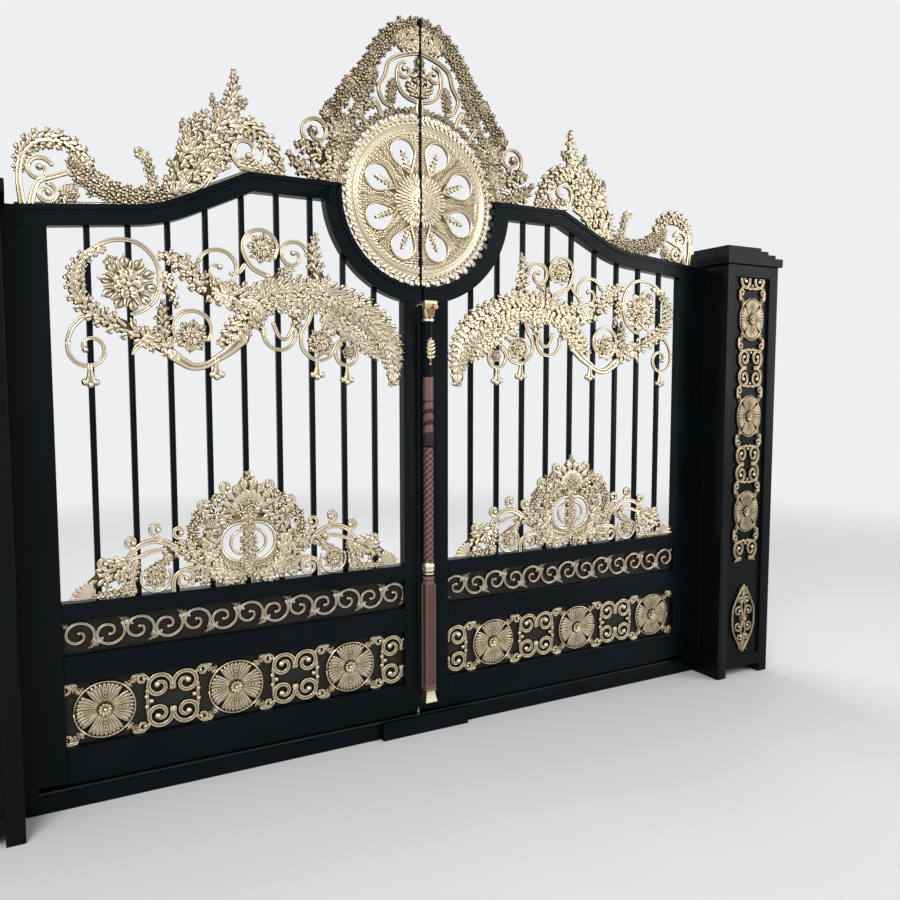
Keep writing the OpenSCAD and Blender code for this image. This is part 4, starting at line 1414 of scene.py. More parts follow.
    def top_crest(self) -> Casting:
        """Crest on the outer stretch of the top rail."""
        leaf = self.leaf
        lo, hi = span(leaf.node("top_crest"))
        start, first, drawn = lo[0], np.array([560.0, 0.0]), np.array([915, 362])
        f = np.array([leaf.end - start, hi[2] - leaf.crown_z]) / drawn
        origin = np.array([start, leaf.crown_z])
        relief = Relief(lambda p: origin + (p - first) * f, float(np.sqrt(f[0] * f[1])))
        relief.add(
            Stem([(1432, -250), (1444, -175), (1450, -100), (1440, -30)], (30, 18, 16, 14)),
            Vine([(1448, -90), (1440, -36), (1416, 8), (1372, 32), (1310, 30), (1265, 0),
                  (1232, -48)], (26, 48, 56, 58, 56, 52, 40)),
            Scroll((1389, -72), 42, 9, 150, -420), Scroll((1372, -146), 34, 8, 100, 420),
            Stem([(1428, -240), (1400, -120), (1350, -90), (1300, -70)], (18, 14, 14)),
            Flower((1281, -38), 32), Flower((1265, -94), 22, 6), Flower((1300, -140), 32),
            Vine([(1290, -110), (1318, -150), (1334, -225)], (26, 40, 30)),
            Posies([(1275, -60), (1220, -100), (1145, -124), (1070, -125), (985, -100)],
                   (76, 92, 78, 72, 76)),
            Vine([(1035, -110), (1042, -40), (1060, 15), (1090, 30)], (44, 36, 34, 16)),
            Scroll((1078, 18), 20, 8, 60, 260, 10),
            Vine([(965, -110), (944, 0), (880, 72), (806, 146), (762, 226), (746, 300),
                  (748, 358)], (64, 76, 80, 78, 62, 46, 12)),
            Vine([(925, 40), (900, 120), (868, 172), (842, 200)], (50, 62, 44, 12)),
            Vine([(880, 0), (830, 60), (770, 110), (735, 160)], (60, 72, 66, 20)),
            Vine([(940, -90), (870, -20), (800, 26), (750, 80)], (70, 70, 60, 20)),
            Flower((800, 128), 30, 7), Flower((870, 40), 28, 7), Flower((756, 196), 22, 6),
            Stem([(945, -130), (864, -71), (827, -18), (770, 14)], (16, 14, 12)),
            Scroll((705, 74), 70, 14, 160, 440, 13),
            Vine([(770, 158), (706, 172), (640, 128), (598, 70), (566, 18)],
                 (60, 66, 72, 60, 20)),
            Vine([(740, 30), (650, 22), (570, 4)], (40, 46, 30)),
            Vine([(800, 190), (822, 232), (826, 262)], (30, 34, 8)),
            Vine([(760, 210), (716, 240), (702, 262)], (30, 36, 8)),
            Vine([(905, 90), (930, 128), (928, 160)], (30, 34, 8)))
        relief.sweep(smooth([(960, -112), (930, -6), (862, 66), (790, 120), (760, 190),
                             (750, 250)]), (24, 56, 84, 84, 50, 10), 2.6, 2.9, 0, Profile.FLAT)
        foot = leaf.rail_edge(-4, start, leaf.end - 8)
        relief.sweep((foot - origin) / f + first, (12, 12), 7, 7)
        return self.cast("top_crest", 0, relief, both_faces=True,
                         cuts=((0, start, 1), (0, leaf.end - 4, -1)), pale=-0.12)

    def pediment(self) -> Casting:
        """Half of the tall pediment over the hoop."""
        leaf = self.leaf
        hi = span(leaf.node("pediment"))[1]
        drawn, spare = (559, 698), 6
        relief = fitted((0, leaf.crown_z), drawn, (559, hi[2] - leaf.crown_z - spare))
        hoop = np.array([0, -leaf.hoop_drop])
        relief.add(
            Vine(arc(hoop, leaf.hoop_r + 14, 89, -84, 21), (28, 28, 30, 36, 46, 60)),
            Posies([(392, 240), (330, 338), (262, 418), (212, 488), (168, 560), (104, 620),
                    (20, 664)], (60, 66, 70, 66, 70, 84, 60)),
            Posies([(372, 110), (352, 190), (318, 262)], (70, 60, 40)),
            Posies([(6, 640), (10, 580)], (60, 50)),
            Vine([(0, 560), (20, 620), (10, 698)], (90, 100, 20)),
            Vine([(70, 590), (92, 640), (88, 684)], (50, 50, 12)),
            Vine([(90, 560), (50, 600), (0, 640)], (60, 90, 60)),
            Stem([(-4, 560), (50, 546), (98, 528), (134, 500), (152, 445), (178, 395), (160, 345),
                  (128, 330)], (14, 14, 12)),
            Scroll((64, 478), 34, 9, 90, -380, 12),
            Stem([(98, 480), (98, 435), (76, 390), (30, 368), (-4, 368)], (13, 14)),
            Vine([(0, 380), (0, 430), (0, 500)], (70, 120, 60)),
            Flower((0, 520), 26, 8),
            Vine([(112, 440), (124, 395), (128, 350), (126, 298)], (18, 44, 40, 12)),
            Vine([(200, 470), (214, 400), (252, 350), (276, 300)], (30, 50, 50, 20)),
            Stem([(4, 372), (6, 340), (4, 318)], (16, 20)),
            Vine([(188, 332), (250, 314), (290, 262), (325, 210), (342, 150), (346, 86)],
                 (30, 46, 50, 54, 60, 60)),
            Stem([(166, 288), (180, 320), (198, 345)], (14, 18)),
            Stem([(226, 234), (246, 266), (268, 292)], (12, 16)),
            Stem([(288, 182), (306, 208), (322, 232)], (12, 16)),
            Scroll((438, 186), 56, 12, -30, 430, 12),
            Vine([(350, 60), (420, 100), (480, 130), (520, 125)], (110, 100, 74, 20)),
            Vine([(360, 12), (450, 26), (510, 52), (552, 98)], (60, 66, 60, 20)),
            Vine([(350, 180), (395, 250), (392, 305)], (70, 66, 14)),
            Flower((300, 392), 34), Flower((452, 186), 24, 6))
        # Its pale of -0.24 darkens the whole pediment as a painted shade
        return self.cast("pediment", 0, relief, both_faces=True,
                         cuts=((0, leaf.half_seam, 1), (2, leaf.crown_z - 20, 1)), pale=-0.24)

    def medallion(self) -> Casting:
        """Half of the round medallion in the hoop."""
        leaf = self.leaf
        centre, r = np.array([0, leaf.hoop_z]), leaf.hoop_r - 0.3
        relief = Relief(lambda p: centre + p)
        medallion_rim(relief, r)
        for i in range(8):
            medallion_spoke(relief, r, (i + 0.5) * 45)
        relief.dome((0, 0), 0.3 * r, 7, 7, 0, 24)
        for reach, petals, base in ((0.34, 44, 4.5), (0.26, 36, 8), (0.18, 28, 11), (0.1, 14, 13)):
            for k in range(petals):
                aim = way(360 * (k + 0.5 * (base == 8)) / petals)
                relief.mark(Pattern.LEAFLET, aim * 0.03 * r, aim, (reach - 0.03) * r,
                            6.0 * reach * r / petals, 7, base)
        relief.dome((0, 0), 0.03 * r, 6, 0, 17)
        return self.cast("medallion", 0, relief, both_faces=True,
                         cuts=((0, leaf.half_seam, 1),), pale=0.1)

    def all(self) -> list[Casting]:
        """Every casting of the leaf."""
        return [self.scroll_band(), self.rosette_band(), self.lower_crest(), self.festoon(),
                self.top_crest(), self.pediment(), self.medallion()]


def medallion_rim(relief: Relief, r: float) -> None:
    """Adds the medallion's rim: its band, its teeth, slanting leaflets and raised rings.

    Args:
        relief: Relief that takes it.
        r: Radius of the medallion.
    """
    def ring(share: float, wide: float, crest: float, back: float,
             profile: Profile = Profile.ROUND) -> None:
        """Adds the ring's half at a share of the radius."""
        relief.sweep(arc((0, 0), share * r, -92, 184, 4), (wide, wide), crest, back, 0, profile)

    ring(0.835, 0.21 * r, 5, 4, Profile.FLAT)
    teeth = 44
    for i in range(teeth):
        aim = way(360 * (i + 0.275) / teeth)
        relief.sweep(np.array([aim * share * r for share in (0.925, 0.96, 0.997)]),
                     (24, 24, 24), 9, 6, 0, Profile.FLAT)
        relief.mark(Pattern.PETAL, aim * 0.9 * r, aim, 0.09 * r, 22, 5, 7)
        aim = way(360 * (i + 0.775) / teeth)
        relief.mark(Pattern.LEAFLET, aim * 0.88 * r, aim, 0.055 * r, 14, 6, 4)
    for i in range(2 * teeth):
        a = 360 * i / (2 * teeth)
        for share, reach, low, ahead in ((0.87, 0.062, 5, 0), (0.905, 0.05, 6, 2),
                                         (0.757, 0.052, 5, 0), (0.785, 0.045, 6, 2)):
            for turn in (48, -48):
                relief.mark(Pattern.LEAFLET, way(a + ahead) * share * r, turned(way(a), turn),
                            reach * r, 10, 5, low + turn / 60)
    ring(0.822, 15, 8, 7, Profile.FLAT)
    for share, wide, crest in ((0.805, 8, 12), (0.84, 8, 12), (0.925, 5, 10)):
        ring(share, wide, crest, 9)


def medallion_spoke(relief: Relief, r: float, a: float) -> None:
    """Adds one opening of the medallion with its raised edge, its sprig and the spoke before it.

    Args:
        relief: Relief that takes them.
        r: Radius of the medallion.
        a: Angle of the opening's middle, in degrees.
    """
    petal, far, near = 0.142 * r, 0.58 * r, 0.3 * r
    out, along = way(a), way(a - 22.5)
    spokes = np.array([along * share * r for share in np.linspace(0.26, 0.74, 8)])
    widths = [w * r for w in (0.24, 0.22, 0.18, 0.15, 0.14, 0.16, 0.27, 0.56)]
    relief.sweep(spokes, widths, 4.4, 5.6, 0, Profile.FLAT)
    relief.sweep(np.array([out * 0.28 * r, out * 0.58 * r]), (11, 7), 6, 5)
    for k in range(5):
        foot = out * (0.34 + 0.052 * k) * r
        for turn in (50, -50):
            relief.mark(Pattern.PETAL, foot, turned(out, turn), 18 - 1.6 * k, 12, 7, 4)
    relief.mark(Pattern.PETAL, out * 0.55 * r, out, 24, 13, 7, 5)
    side = turned(along, 90)
    for share in np.arange(0.33, 0.76, 0.03):
        cut = max(0.0, 0.171**2 - (share - 0.536)**2)
        half = min(0.21 - math.sqrt(cut), 0.41 * share - 0.1 * (share < 0.5))
        count = max(1, round(2 * half * r / 10))
        for k in range(count):
            off = ((k + 0.5) / count - 0.5) * 2 * half * r
            relief.mark(Pattern.LEAFLET, along * (share * r - 8) + side * off,
                        turned(along, 30 if off > 0 else -30), 14, 7.5, 4, 4 + (k % 2))
    tangent = math.degrees(math.acos(petal / (far - near)))
    loop = arc(out * far, petal + 5, a + 180 - tangent, -(360 - 2 * tangent), 12)
    heart, neck = out * 0.1 * r, out * (near + 6)
    relief.sweep(np.array([heart, neck, *loop, neck, heart]), (9, 9), 15, 8)


def rosette(relief: Relief, c: np.ndarray, r: float) -> None:
    """Adds a rosette: four ribbed fans in a thin ring, with dark slits between them.

    Args:
        relief: Relief that takes it.
        c: Its middle, as drawn.
        r: Its radius.
    """
    relief.sweep(arc(c, 0.955 * r, 0, 360, 12), (0.08 * r, 0.08 * r), 8, 4)
    for middle in (0, 90, 180, 270):
        aim = way(middle)
        fan = np.array([c + aim * share * r for share in (0.1, 0.3, 0.5, 0.7, 0.9)])
        relief.sweep(fan, [w * r for w in (0.15, 0.53, 0.91, 1.27, 0.84)], 4, 4, 0, Profile.FAN)
        for k in range(-4, 5):
            rib, reach = way(middle + 8.95 * k), 0.8 - 0.02 * (abs(k) == 4)
            relief.mark(Pattern.LEAFLET, c + rib * 0.14 * r, rib, reach * r, 0.17 * r, 0.07 * r, 4)
        for share in (0.34, 0.46, 0.58, 0.7, 0.82):
            relief.pearl(c + aim * share * r, 3.4, 8)
        corner = way(middle + 45)
        relief.add(Vine([c + corner * share * r for share in (0.96, 1.08, 1.2)], (26, 28, 10)))
    for k in range(10):
        aim = way(36 * k)
        relief.mark(Pattern.PETAL, c + aim * 0.03 * r, aim, 0.19 * r, 0.12 * r, 7, 8)
    relief.dome(c, 0.07 * r, 6, 0, 13)


def scroll_group(relief: Relief, c: np.ndarray, reach: float) -> None:
    """Adds the four scrolls between two rosettes.

    Args:
        relief: Relief that takes them.
        c: Middle of the group, as drawn.
        reach: Distance from there to the rosette's edge.
    """
    for m in four_ways(c):
        relief.add(Scroll(m.point((48, 54)), 46, 9, *m.turn(200, -520), 14),
                   Scroll(m.point((104, 88)), 18, 5, *m.turn(100, -300), 9),
                   Stem(m.line((84, 84), (106, 106), (reach + 10, 104)), (10, 12, 10)),
                   Vine(m.line((reach - 6, 96), (reach + 10, 88), (reach + 22, 72)),
                        (14, 28, 12)))
        relief.knob(m.point((92, 19)), 10, 10)
        relief.knob(m.point((0, 52)), 10, 11)
    for x in (92, -92):
        relief.knob(c + [0.82 * x, 0], 11, 11)
        relief.add(Stem([c + [0.98 * x, -44], c + [0.96 * x, 0], c + [0.98 * x, 44]], (8, 10, 8)))


def rosette_run(relief: Relief, rosettes: int, pitch: float, first: float) -> None:
    """Adds rosettes at equal spacing, with scrolls before, between and after them.

    Args:
        relief: Relief that takes them.
        rosettes: Number of rosettes.
        pitch: Distance between two of them.
        first: Distance from the drawing's edge to the first.
    """
    for i in range(rosettes + 1):
        if i < rosettes:
            rosette(relief, np.array([first + i * pitch, RUN_MIDDLE]), 106)
        scroll_group(relief, np.array([first + (i - 0.5) * pitch, RUN_MIDDLE]), pitch / 2 - 103)


def post_castings(side: Side) -> list[Casting]:
    """The castings of one post: a tall panel with three rosettes, and a small pointed oval."""
    panel_node, oval_node = f"{side.word}_post_scroll_panel", f"{side.word}_post_oval"
    lo, hi = span(panel_node)
    f = np.array([(hi[2] - lo[2]) / 1400, (hi[0] - lo[0] + 2) / RUN_H])
    panel = Relief(lambda p: np.c_[hi[0] + 1 - p[:, 1] * f[1], lo[2] + p[:, 0] * f[0]],
                   float(np.sqrt(f[0] * f[1])))
    rosette_run(panel, 3, 475, 252)
    low, high = span(oval_node)
    oval = fitted((low + high)[::2] / 2, (156, 345), (high - low)[::2])
    for m in four_ways((0, 0)):
        oval.add(Stem(m.line((74, -2), (70, 50), (44, 105), (14, 150), (-3, 170)), (9, 9, 8)),
                 Scroll(m.point((34, 38)), 26, 6, *m.turn(200, -400), 9),
                 Scroll(m.point((22, 92)), 18, 5, *m.turn(230, -380), 8),
                 Stem(m.line((0, 0), (14, 60), (4, 110), (0, 160)), (10, 9, 8)),
                 Vine(m.line((10, 120), (22, 138), (20, 160)), (14, 18, 6)))
    oval.add(Flower((0, 0), 30, 8))
    return [Casting(panel_node, side, hi[1] - POST_DEPTH, panel, "posts",
                    cuts=((2, lo[2], 1), (2, hi[2], -1)), pale=-0.26),
            Casting(oval_node, side, high[1] - POST_DEPTH, oval, "posts", pale=-0.26)]


@dataclass
class Steelwork:
    """Painted steel members: the frame's own members with softened edges and raised lips.

    Args:
        finishes: Finishes of the gate.
        bevel: Width of a softened edge, in millimetres.
        lip_w: Width of the raised lips.
        lip_t: How far they stand proud.
        strip_t: Thickness of the closing strips.
    """

    finishes: Finishes
    bevel: float = 2.5
    lip_w: float = 18
    lip_t: float = 5
    strip_t: float = 6

    def softened(self, node: str) -> bpy.types.Mesh:
        """Copies a node's mesh, merges it and softens its edges."""
        bm = bmesh.new()
        bm.from_mesh(frame["nodes"][node].data)
        bmesh.ops.remove_doubles(bm, verts=bm.verts[:], dist=1e-5)
        bmesh.ops.dissolve_limit(bm, angle_limit=math.radians(1), verts=bm.verts[:],
                                 edges=bm.edges[:])
        corner = math.radians(30)
        sharp = [e for e in bm.edges if e.is_manifold and e.calc_face_angle(0) > corner]
        bmesh.ops.bevel(bm, geom=sharp, offset=self.bevel * MM, offset_type="OFFSET", segments=2,
                        profile=0.5, affect="EDGES", clamp_overlap=True)
        bmesh.ops.recalc_face_normals(bm, faces=bm.faces[:])
        mesh = bpy.data.meshes.new("softened")
        bm.to_mesh(mesh)
        bm.free()
        return mesh

    def lips(self, leaf: LeafFrame) -> list[bpy.types.Mesh]:
        """Raised lips along the top rail's upper edge and round the hoop, front and back."""
        parts, widths = [], (self.lip_w, self.lip_w)
        inner = self.lip_w / 2 + 1
        join_x = leaf.hoop_r + inner
        top = math.degrees(math.asin((leaf.hoop_drop - inner) / join_x))
        for hand, end in ((-1, leaf.end - 12), (1, leaf.end - 150)):
            relief = Relief()
            for line in (leaf.rail_edge(inner, join_x, end),
                         arc((0, leaf.hoop_z), join_x, -89, 89 + top, 4)):
                relief.sweep(line, widths, self.lip_t, 2, 0, Profile.FLAT)
            verts = [(leaf.side.value * x, hand * (h - leaf.front), z) for x, h, z in relief.verts]
            parts.append(solid_mesh(verts, relief.faces, relief.height))
        return parts

    def closing_strip(self, leaf: LeafFrame) -> None:
        """Angle strip on the post that closes the gap in front of the leaf's edge."""
        lo, hi = span(leaf.node("post"))
        post, edge, front, t = lo[0], leaf.end - 8, leaf.front - 2, self.strip_t
        outline = ((post, front - 30), (post, front), (edge, front), (edge, front - t),
                   (post - t, front - t), (post - t, front - 30))
        high = min(leaf.eave(leaf.end, 0) - 3, hi[2])
        strip = prism([(leaf.side.value * x, y) for x, y in outline], sill_top(), high, 0.5)
        piece = join_meshes(leaf.node("post_closing_strip"), [strip], 0.5)
        hang(piece, self.finishes, "post_paint", "posts")

    def leaf_strip(self, leaf: LeafFrame, name: str, line: Sequence[Pair], width: float,
                   depth: float) -> None:
        """Hangs a straight black strip on a leaf.

        Args:
            leaf: The leaf.
            name: Name of the strip.
            line: Points of its middle, as X and Z.
            width: Its width.
            depth: How far it reaches before and behind the leaf's middle plane.
        """
        relief = Relief()
        relief.sweep(np.array(line), (width, width), depth, depth, 0, Profile.FLAT)
        verts = [(leaf.side.value * x, h, z) for x, h, z in relief.verts]
        piece = join_meshes(leaf.node(name), [solid_mesh(verts, relief.faces, relief.height)])
        hang(piece, self.finishes, "frame_paint", leaf.side.body)

    def sweep_strip(self, leaf: LeafFrame) -> None:
        """Black strip under the leaf that fills the gap over the sill with painted shade."""
        low, high = sill_top() + STRIP_GAP, span(leaf.node("cross_rails"))[0][2]
        start = span(leaf.node("meeting_stile"))[0][0] - 3.8
        line = [(x, (low + high) / 2) for x in np.linspace(start, leaf.end - 4, 9)]
        self.leaf_strip(leaf, "sweep_strip", line, high - low, 7)

    def seam_strip(self, leaf: LeafFrame) -> None:
        """Thin black strip along the leaf's side of the seam, up to the pediment's tip, which keeps
        the seam dark.
        """
        high = span(leaf.node("pediment"))[1][2] - 14
        line = [(3.4, z) for z in np.linspace(sill_top() + STRIP_GAP, high, 12)]
        self.leaf_strip(leaf, "seam_strip", line, 5, 9)

    def build(self) -> None:
        """Makes every member and hangs it on its body."""
        record, leaves = frame["record"], [LeafFrame(side) for side in Side]
        owner = {node: body for body, nodes in record["behaviour"]["bodies"].items()
                 for node in nodes}
        lipped = {leaf.node("top_rail"): leaf for leaf in leaves}
        for part in record["subparts"]:
            node, slot = part["node"], part["material_slot"]
            if slot not in ("frame_paint", "post_paint") or node == "column_neck":
                continue
            parts = [self.softened(node)]
            if node in lipped:
                parts += self.lips(lipped[node])
            hang(join_meshes(f"{node}_steel", parts, 0.45), self.finishes, slot, owner[node], node)
        for leaf in leaves:
            self.closing_strip(leaf)
            self.sweep_strip(leaf)
            self.seam_strip(leaf)


@dataclass
class Turning:
    """Collects closed turned forms about one upright axis, in millimetres.

    Args:
        axis: X and Y of the axis.
        radius: Radius that the forms' rings differ from.
        around: Corners in each ring.
    """

    axis: Pair
    radius: float
    around: int = 32
    verts: list = field(default_factory=list)
    faces: list = field(default_factory=list)
    height: list = field(default_factory=list)

    def add(self, base: float, rows: Sequence[Triple],
            outline: Callable[[float, float], Triple] | None = None) -> None:
        """Adds one form.

        Args:
            base: Height that the rings are given from.
            rows: Height, added radius and relief value of each ring.
            outline: Takes an angle and a height, and gives a share of the radius, a lift and a
                change of the relief value.
        """
        start, n = len(self.verts), self.around
        for up, wider, tone in rows:
            z, r = base + up, self.radius + wider
            for k in range(n):
                a = 2 * math.pi * k / n
                share, lift, shade = outline(a, z) if outline else (1.0, 0.0, 0.0)
                self.verts.append((self.axis[0] + r * share * math.cos(a),
                                   self.axis[1] + r * share * math.sin(a), z + lift))
                self.height.append(tone + shade)
        self.faces += ring_faces(start, len(rows), n)
        last = start + (len(rows) - 1) * n
        self.faces += [tuple(start + k for k in range(n)), tuple(last + k for k in range(n))]

    def mesh(self) -> bpy.types.Mesh:
        """Makes the mesh of all forms."""
        return solid_mesh(self.verts, self.faces, self.height)


@dataclass
class Column:
    """Turned column on the right leaf's meeting stile, in copper paint and pale gold.

    Args:
        finishes: Finishes of the gate.
        spray: Sets its leaves.
        radius: Radius of its round shaft, in millimetres.
        strands: Strands of the twisted part.
        lead: Height in which a strand goes once round.
    """

    finishes: Finishes
    spray: LeafSpray
    radius: float = 22
    strands: int = 4
    lead: float = 100

    def __post_init__(self) -> None:
        """Finds the axis and the heights of the column's parts."""
        lo, hi = (np.array(v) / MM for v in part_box("column_shaft"))
        self.low, self.high = lo[2], hi[2]
        self.axis = ((lo[0] + hi[0]) / 2, (lo[1] + hi[1]) / 2)
        castings = [np.array(v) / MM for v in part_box("column_castings")]
        self.foot, self.top = castings[0][2], castings[1][2]

    @staticmethod
    def square(a: float, z: float) -> tuple[float, float, float]:
        """Outline of a square post whose half side is the radius."""
        return 1 / max(abs(math.cos(a)), abs(math.sin(a))), 0.0, 0.0

    def rope(self, a: float, z: float) -> tuple[float, float, float]:
        """Outline of the twisted part, with a painted highlight along its ridges and along lines
        that cross them.
        """
        ridge = math.cos(self.strands * (a - 2 * math.pi * z / self.lead))
        cross = math.cos(self.strands * (a + 2 * math.pi * z / self.lead))
        return 1 + 0.07 * ridge, 0.0, 0.7 * max(0.0, ridge) ** 4 + 0.4 * max(0.0, cross) ** 6

    @staticmethod
    def arched(a: float, z: float) -> tuple[float, float, float]:
        """Rings that rise towards the front."""
        return 1.0, -11 * math.sin(a), 0.0

    def panelled_shaft(self, low: float, high: float) -> bpy.types.Mesh:
        """Square shaft with a sunk panel in each side."""
        (x, y), half = self.axis, self.radius
        mesh = prism([(x + dx * half, y + dy * half)
                      for dx, dy in ((-1, -1), (1, -1), (1, 1), (-1, 1))], low, high, 0.75)
        bm = bmesh.new()
        bm.from_mesh(mesh)
        tone = bm.verts.layers.float["relief"]
        sides = [f for f in bm.faces if abs(f.normal.z) < 0.5]
        bmesh.ops.inset_individual(bm, faces=sides, thickness=6 * MM)
        bmesh.ops.inset_individual(bm, faces=sides, thickness=1.5 * MM, depth=-3 * MM)
        for face in sides:
            for v in face.verts:
                v[tone] = 0.42
        bm.to_mesh(mesh)
        bm.free()
        return mesh

    def shaft(self) -> None:
        """Copper shaft: square foot, twisted middle and banded top."""
        turning = Turning(self.axis, self.radius)
        square_end, twist, banded = self.low + 436, self.low + 525, self.low + 1005
        # Wider rings of the foot and the collar get higher relief values than narrow ones: painted
        # highlight and shade
        turning.add(self.low, [(-21, -1.5, 0.6), (-17, 2, 0.8), (-12, 2, 0.8), (-8, -1, 0.4),
                               (-5, 1, 0.7), (4, 1, 0.7)], self.square)
        turning.add(square_end, [(0, 0, 0.6), (4, 2.5, 0.85), (10, 2.5, 0.85), (13, 0, 0.4),
                                 (18, 0, 0.4), (21, 2.5, 0.85), (29, 2.5, 0.85), (32, 0, 0.5)])
        turning.add(0, [(z, -1.5, 0.3) for z in np.linspace(twist - 4, banded + 2, 122)],
                    self.rope)
        dark, plain, groove = 0.05, 0.52, -1.5
        arch = [(0, groove, dark), (12, 0, dark), (52, 0, dark)]
        for z in (58, 106, 152):
            arch += [(z, 0, plain), (z + 27, 0, plain), (z + 29, groove, dark),
                     (z + 44, groove, dark)]
        turning.add(banded, arch + [(200, 0, plain), (206, 0, plain)], self.arched)
        turning.add(0, [(banded + 195, -0.2, plain), (self.high, -0.2, plain)])
        parts = [self.panelled_shaft(self.low, square_end + 2), turning.mesh()]
        hang(join_meshes("column_shaft_turned", parts, 0.6), self.finishes, "copper_paint",
             "right_leaf", "column_shaft")

    def castings(self) -> None:
        """Pale gold foot, collar, capital and the fern leaf on the neck."""
        r, turning = self.radius, Turning(self.axis, self.radius)
        # Wider rings get higher relief values than narrow ones: painted highlight and shade
        turning.add(self.foot, [(0, 4.5, 0.6), (5, 4.5, 0.9), (9, 3, 0.9), (22, 0, 0.8),
                                (38, -2, 0.7), (47, -1.5, 0.6)], self.square)
        turning.add(self.low + 476, [
            (0, 0, 0.4), (2, 2, 0.8), (8, 2, 0.8), (10, -1.5, 0.2), (14, -1.5, 0.2),
            (16, 3.5, 0.9), (23, 3.5, 0.9), (25, 0.5, 0.3), (29, 4, 0.9), (36, 4.5, 1.0),
            (44, 2, 1.0), (51, -3, 1.0), (55, -8, 1.0)])
        cap = self.top - 66
        turning.add(cap, [(0, 0, 0.6), (2, 3, 0.9), (11, 3, 0.9), (15, -2, 0.3), (30, -1, 0.5),
                          (54, 1, 0.7), (68, 4, 0.8)])
        turning.add(cap, [(68, 2, 0.5), (72, 6, 0.9), (82, 6, 0.9), (84, 4.5, 0.8)], self.square)
        capital = Relief(lambda p: np.array([self.axis[0], cap]) + p)
        for x in (-1, 1):
            capital.add(Scroll((x * (r - 4), 60), 10, 3, 90, -x * 430, 5.5),
                        Vine([(x * 5, 16), (x * 10, 36), (x * 15, 50)], (11, 15, 8)))
        capital.add(Vine([(0, 14), (0, 36), (0, 62)], (14, 19, 8)))
        neck = self.high + 50
        fern = Relief(lambda p: np.array([self.axis[0], neck]) + p)
        fern.sweep(np.array([(0, 0), (1.5, 8), (-1, 14), (0, 30), (0, 60), (0, 98)]), (4, 3), 4, 2)
        fern.knob((-2, 3), 4.5, 4, 2)
        for k, reach in enumerate((22, 26, 26, 24, 20)):
            for x in (-1, 1):
                fern.mark(Pattern.LEAFLET, np.array([0.0, 26 + 15 * k]),
                          turned(np.array([float(x), 0.0]), x * (36 + 3 * k)), reach, 11, 5, 1)
        fern.mark(Pattern.LEAFLET, np.array([0.0, 90.0]), np.array([0.0, 1.0]), 22, 12, 6, 1)
        parts, finish = [turning.mesh()], self.finishes["pale_gold"]
        for drawn, depth in ((capital, r + 3), (fern, r - 1)):
            parts += Casting("column_castings", Side.RIGHT, self.axis[1] - depth, drawn,
                             "right_leaf", Cast.PALE).parts(self.spray, finish)
        hang(join_meshes("column_castings_cast", parts, 0.7), self.finishes, "pale_gold",
             "right_leaf", "column_castings")

    def build(self) -> None:
        """Makes the shaft and its castings."""
        self.shaft()
        self.castings()


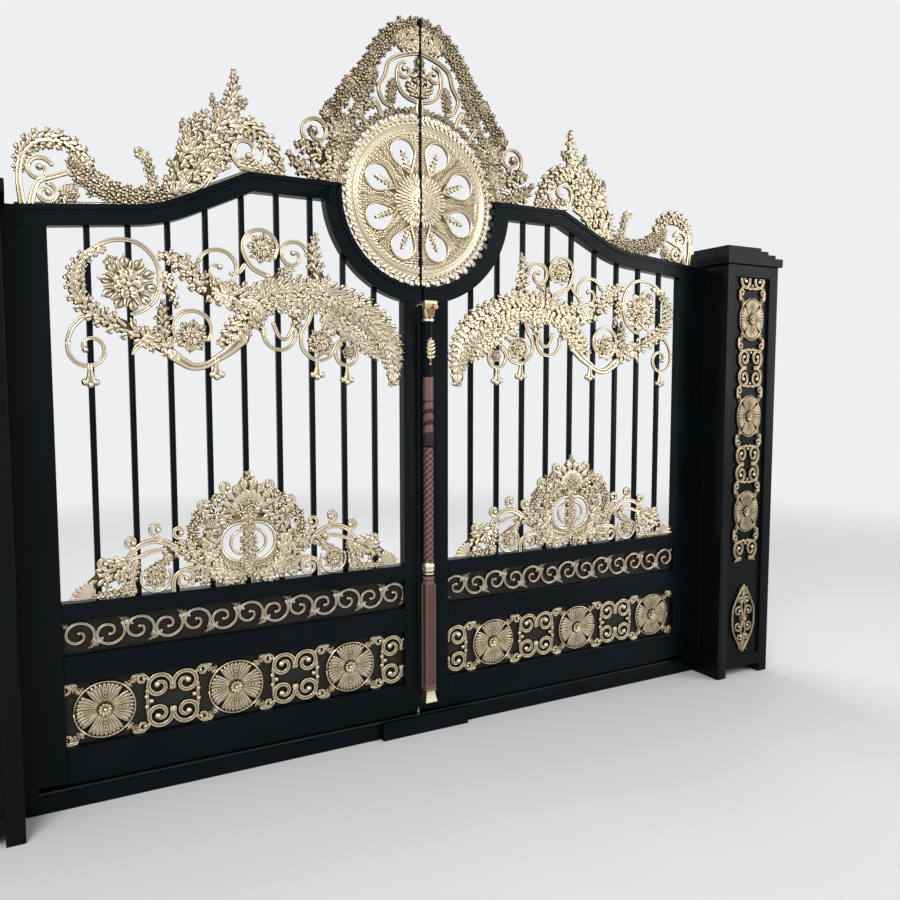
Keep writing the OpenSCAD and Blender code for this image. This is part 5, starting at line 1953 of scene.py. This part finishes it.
class Studio:
    """Camera, lamps, floor and sky."""

    lens: float = 32.71
    eye: Triple = (-1.507, -3.056, 1.467)
    toward: Triple = (0.47309, 0.87740, -0.07968)
    up: Triple = (0.03787, 0.07011, 0.99682)
    sky: tuple[float, ...] = (0.97, 0.98, 1.0, 1)
    sky_level: float = 0.88

    def camera(self) -> None:
        """Sets the camera at the photograph's view."""
        data = bpy.data.cameras.new("camera")
        data.lens, data.sensor_width, data.clip_end = self.lens, 36, 200
        cam = bpy.data.objects.new("camera", data)
        back = -Vector(self.toward).normalized()
        right = Vector(self.up).cross(back).normalized()
        up = back.cross(right)
        turn = Matrix((right, up, back)).transposed().to_4x4()
        cam.matrix_world = Matrix.Translation(self.eye) @ turn
        bpy.context.scene.collection.objects.link(cam)
        bpy.context.scene.camera = cam

    def lamp(self, name: str, place: Pair, aim: Pair, size: float, power: float) -> None:
        """Adds a soft square lamp.

        Args:
            name: Name of the lamp.
            place: Where it hangs, in metres.
            aim: Point that it shines at.
            size: Side of the square.
            power: Its power in watts.
        """
        data = bpy.data.lights.new(name, "AREA")
        data.size, data.energy = size, power
        obj = bpy.data.objects.new(name, data)
        obj.location = place
        obj.rotation_euler = (Vector(aim) - Vector(place)).to_track_quat("-Z", "Y").to_euler()
        bpy.context.scene.collection.objects.link(obj)

    def world(self) -> None:
        """Pale sky to the camera and in reflections, a dimmer one as a lamp."""
        world = bpy.data.worlds.new("sky")
        bpy.context.scene.world = world
        world.use_nodes = True
        book, sky = NodeBook(world.node_tree), world.node_tree.nodes["Background"]
        sky.inputs["Color"].default_value = self.sky
        path = book.new("ShaderNodeLightPath")
        seen = book.new("ShaderNodeMath", operation="MAXIMUM")
        through = book.new("ShaderNodeMath", operation="MAXIMUM")
        level = book.new("ShaderNodeMapRange", {"To Min": 0.45, "To Max": self.sky_level})
        book.wire((path, "Is Camera Ray", seen, 0), (path, "Is Glossy Ray", seen, 1),
                  (seen, 0, through, 0), (path, "Is Transmission Ray", through, 1),
                  (through, 0, level, "Value"), (level, "Result", sky, "Strength"))

    def floor(self) -> None:
        """Pale floor on which the object throws its shadow, and which fades into the sky."""
        mat = bpy.data.materials.new("floor")
        mat.use_nodes = True
        book, shader = NodeBook(mat.node_tree), mat.node_tree.nodes["Principled BSDF"]
        shader.inputs["Base Color"].default_value = (0.80, 0.80, 0.80, 1)
        shader.inputs["Roughness"].default_value = 0.75
        place = book.new("ShaderNodeTexCoord")
        far = book.new("ShaderNodeVectorMath", operation="LENGTH")
        fade = book.new("ShaderNodeMapRange", {"From Min": 3.0, "From Max": 9.0},
                        interpolation_type="SMOOTHSTEP")
        glow = book.new("ShaderNodeEmission", {"Color": self.sky, "Strength": self.sky_level})
        blend = book.new("ShaderNodeMixShader")
        book.wire((place, "Object", far, 0), (far, "Value", fade, "Value"),
                  (fade, "Result", blend, "Fac"), (shader, "BSDF", blend, 1),
                  (glow, "Emission", blend, 2),
                  (blend, "Shader", mat.node_tree.nodes["Material Output"], "Surface"))
        r = 30.0
        obj = mesh_object("floor", [(-r, -r, 0), (r, -r, 0), (r, r, 0), (-r, r, 0)], [(0, 1, 2, 3)])
        obj.data.materials.append(mat)

    def build(self) -> None:
        """Builds the whole studio."""
        self.camera()
        self.lamp("key", (-3.4, -4.2, 4.6), (0, 0, 1.3), 2.6, 222)
        self.lamp("fill", (4.5, -3.6, 2.6), (0.4, 0, 1.2), 3.0, 110)
        self.lamp("back", (1.0, 4.5, 4.5), (0, 0, 1.4), 3.0, 150)
        self.world()
        self.floor()


def main() -> None:
    """Builds the studio and dresses the gate piece by piece."""
    logging.basicConfig(level=logging.INFO, format="%(message)s")
    bpy.context.scene.view_settings.view_transform = "Standard"
    Studio().build()
    finishes, spray = Finishes(), LeafSpray()
    finishes.dress_nodes()
    Steelwork(finishes).build()
    Column(finishes, spray).build()
    for side in Side:
        for casting in (*Castings(LeafFrame(side)).all(), *post_castings(side)):
            casting.build(spray, finishes)
    spray.clear()


if __name__ == "__main__":
    main()
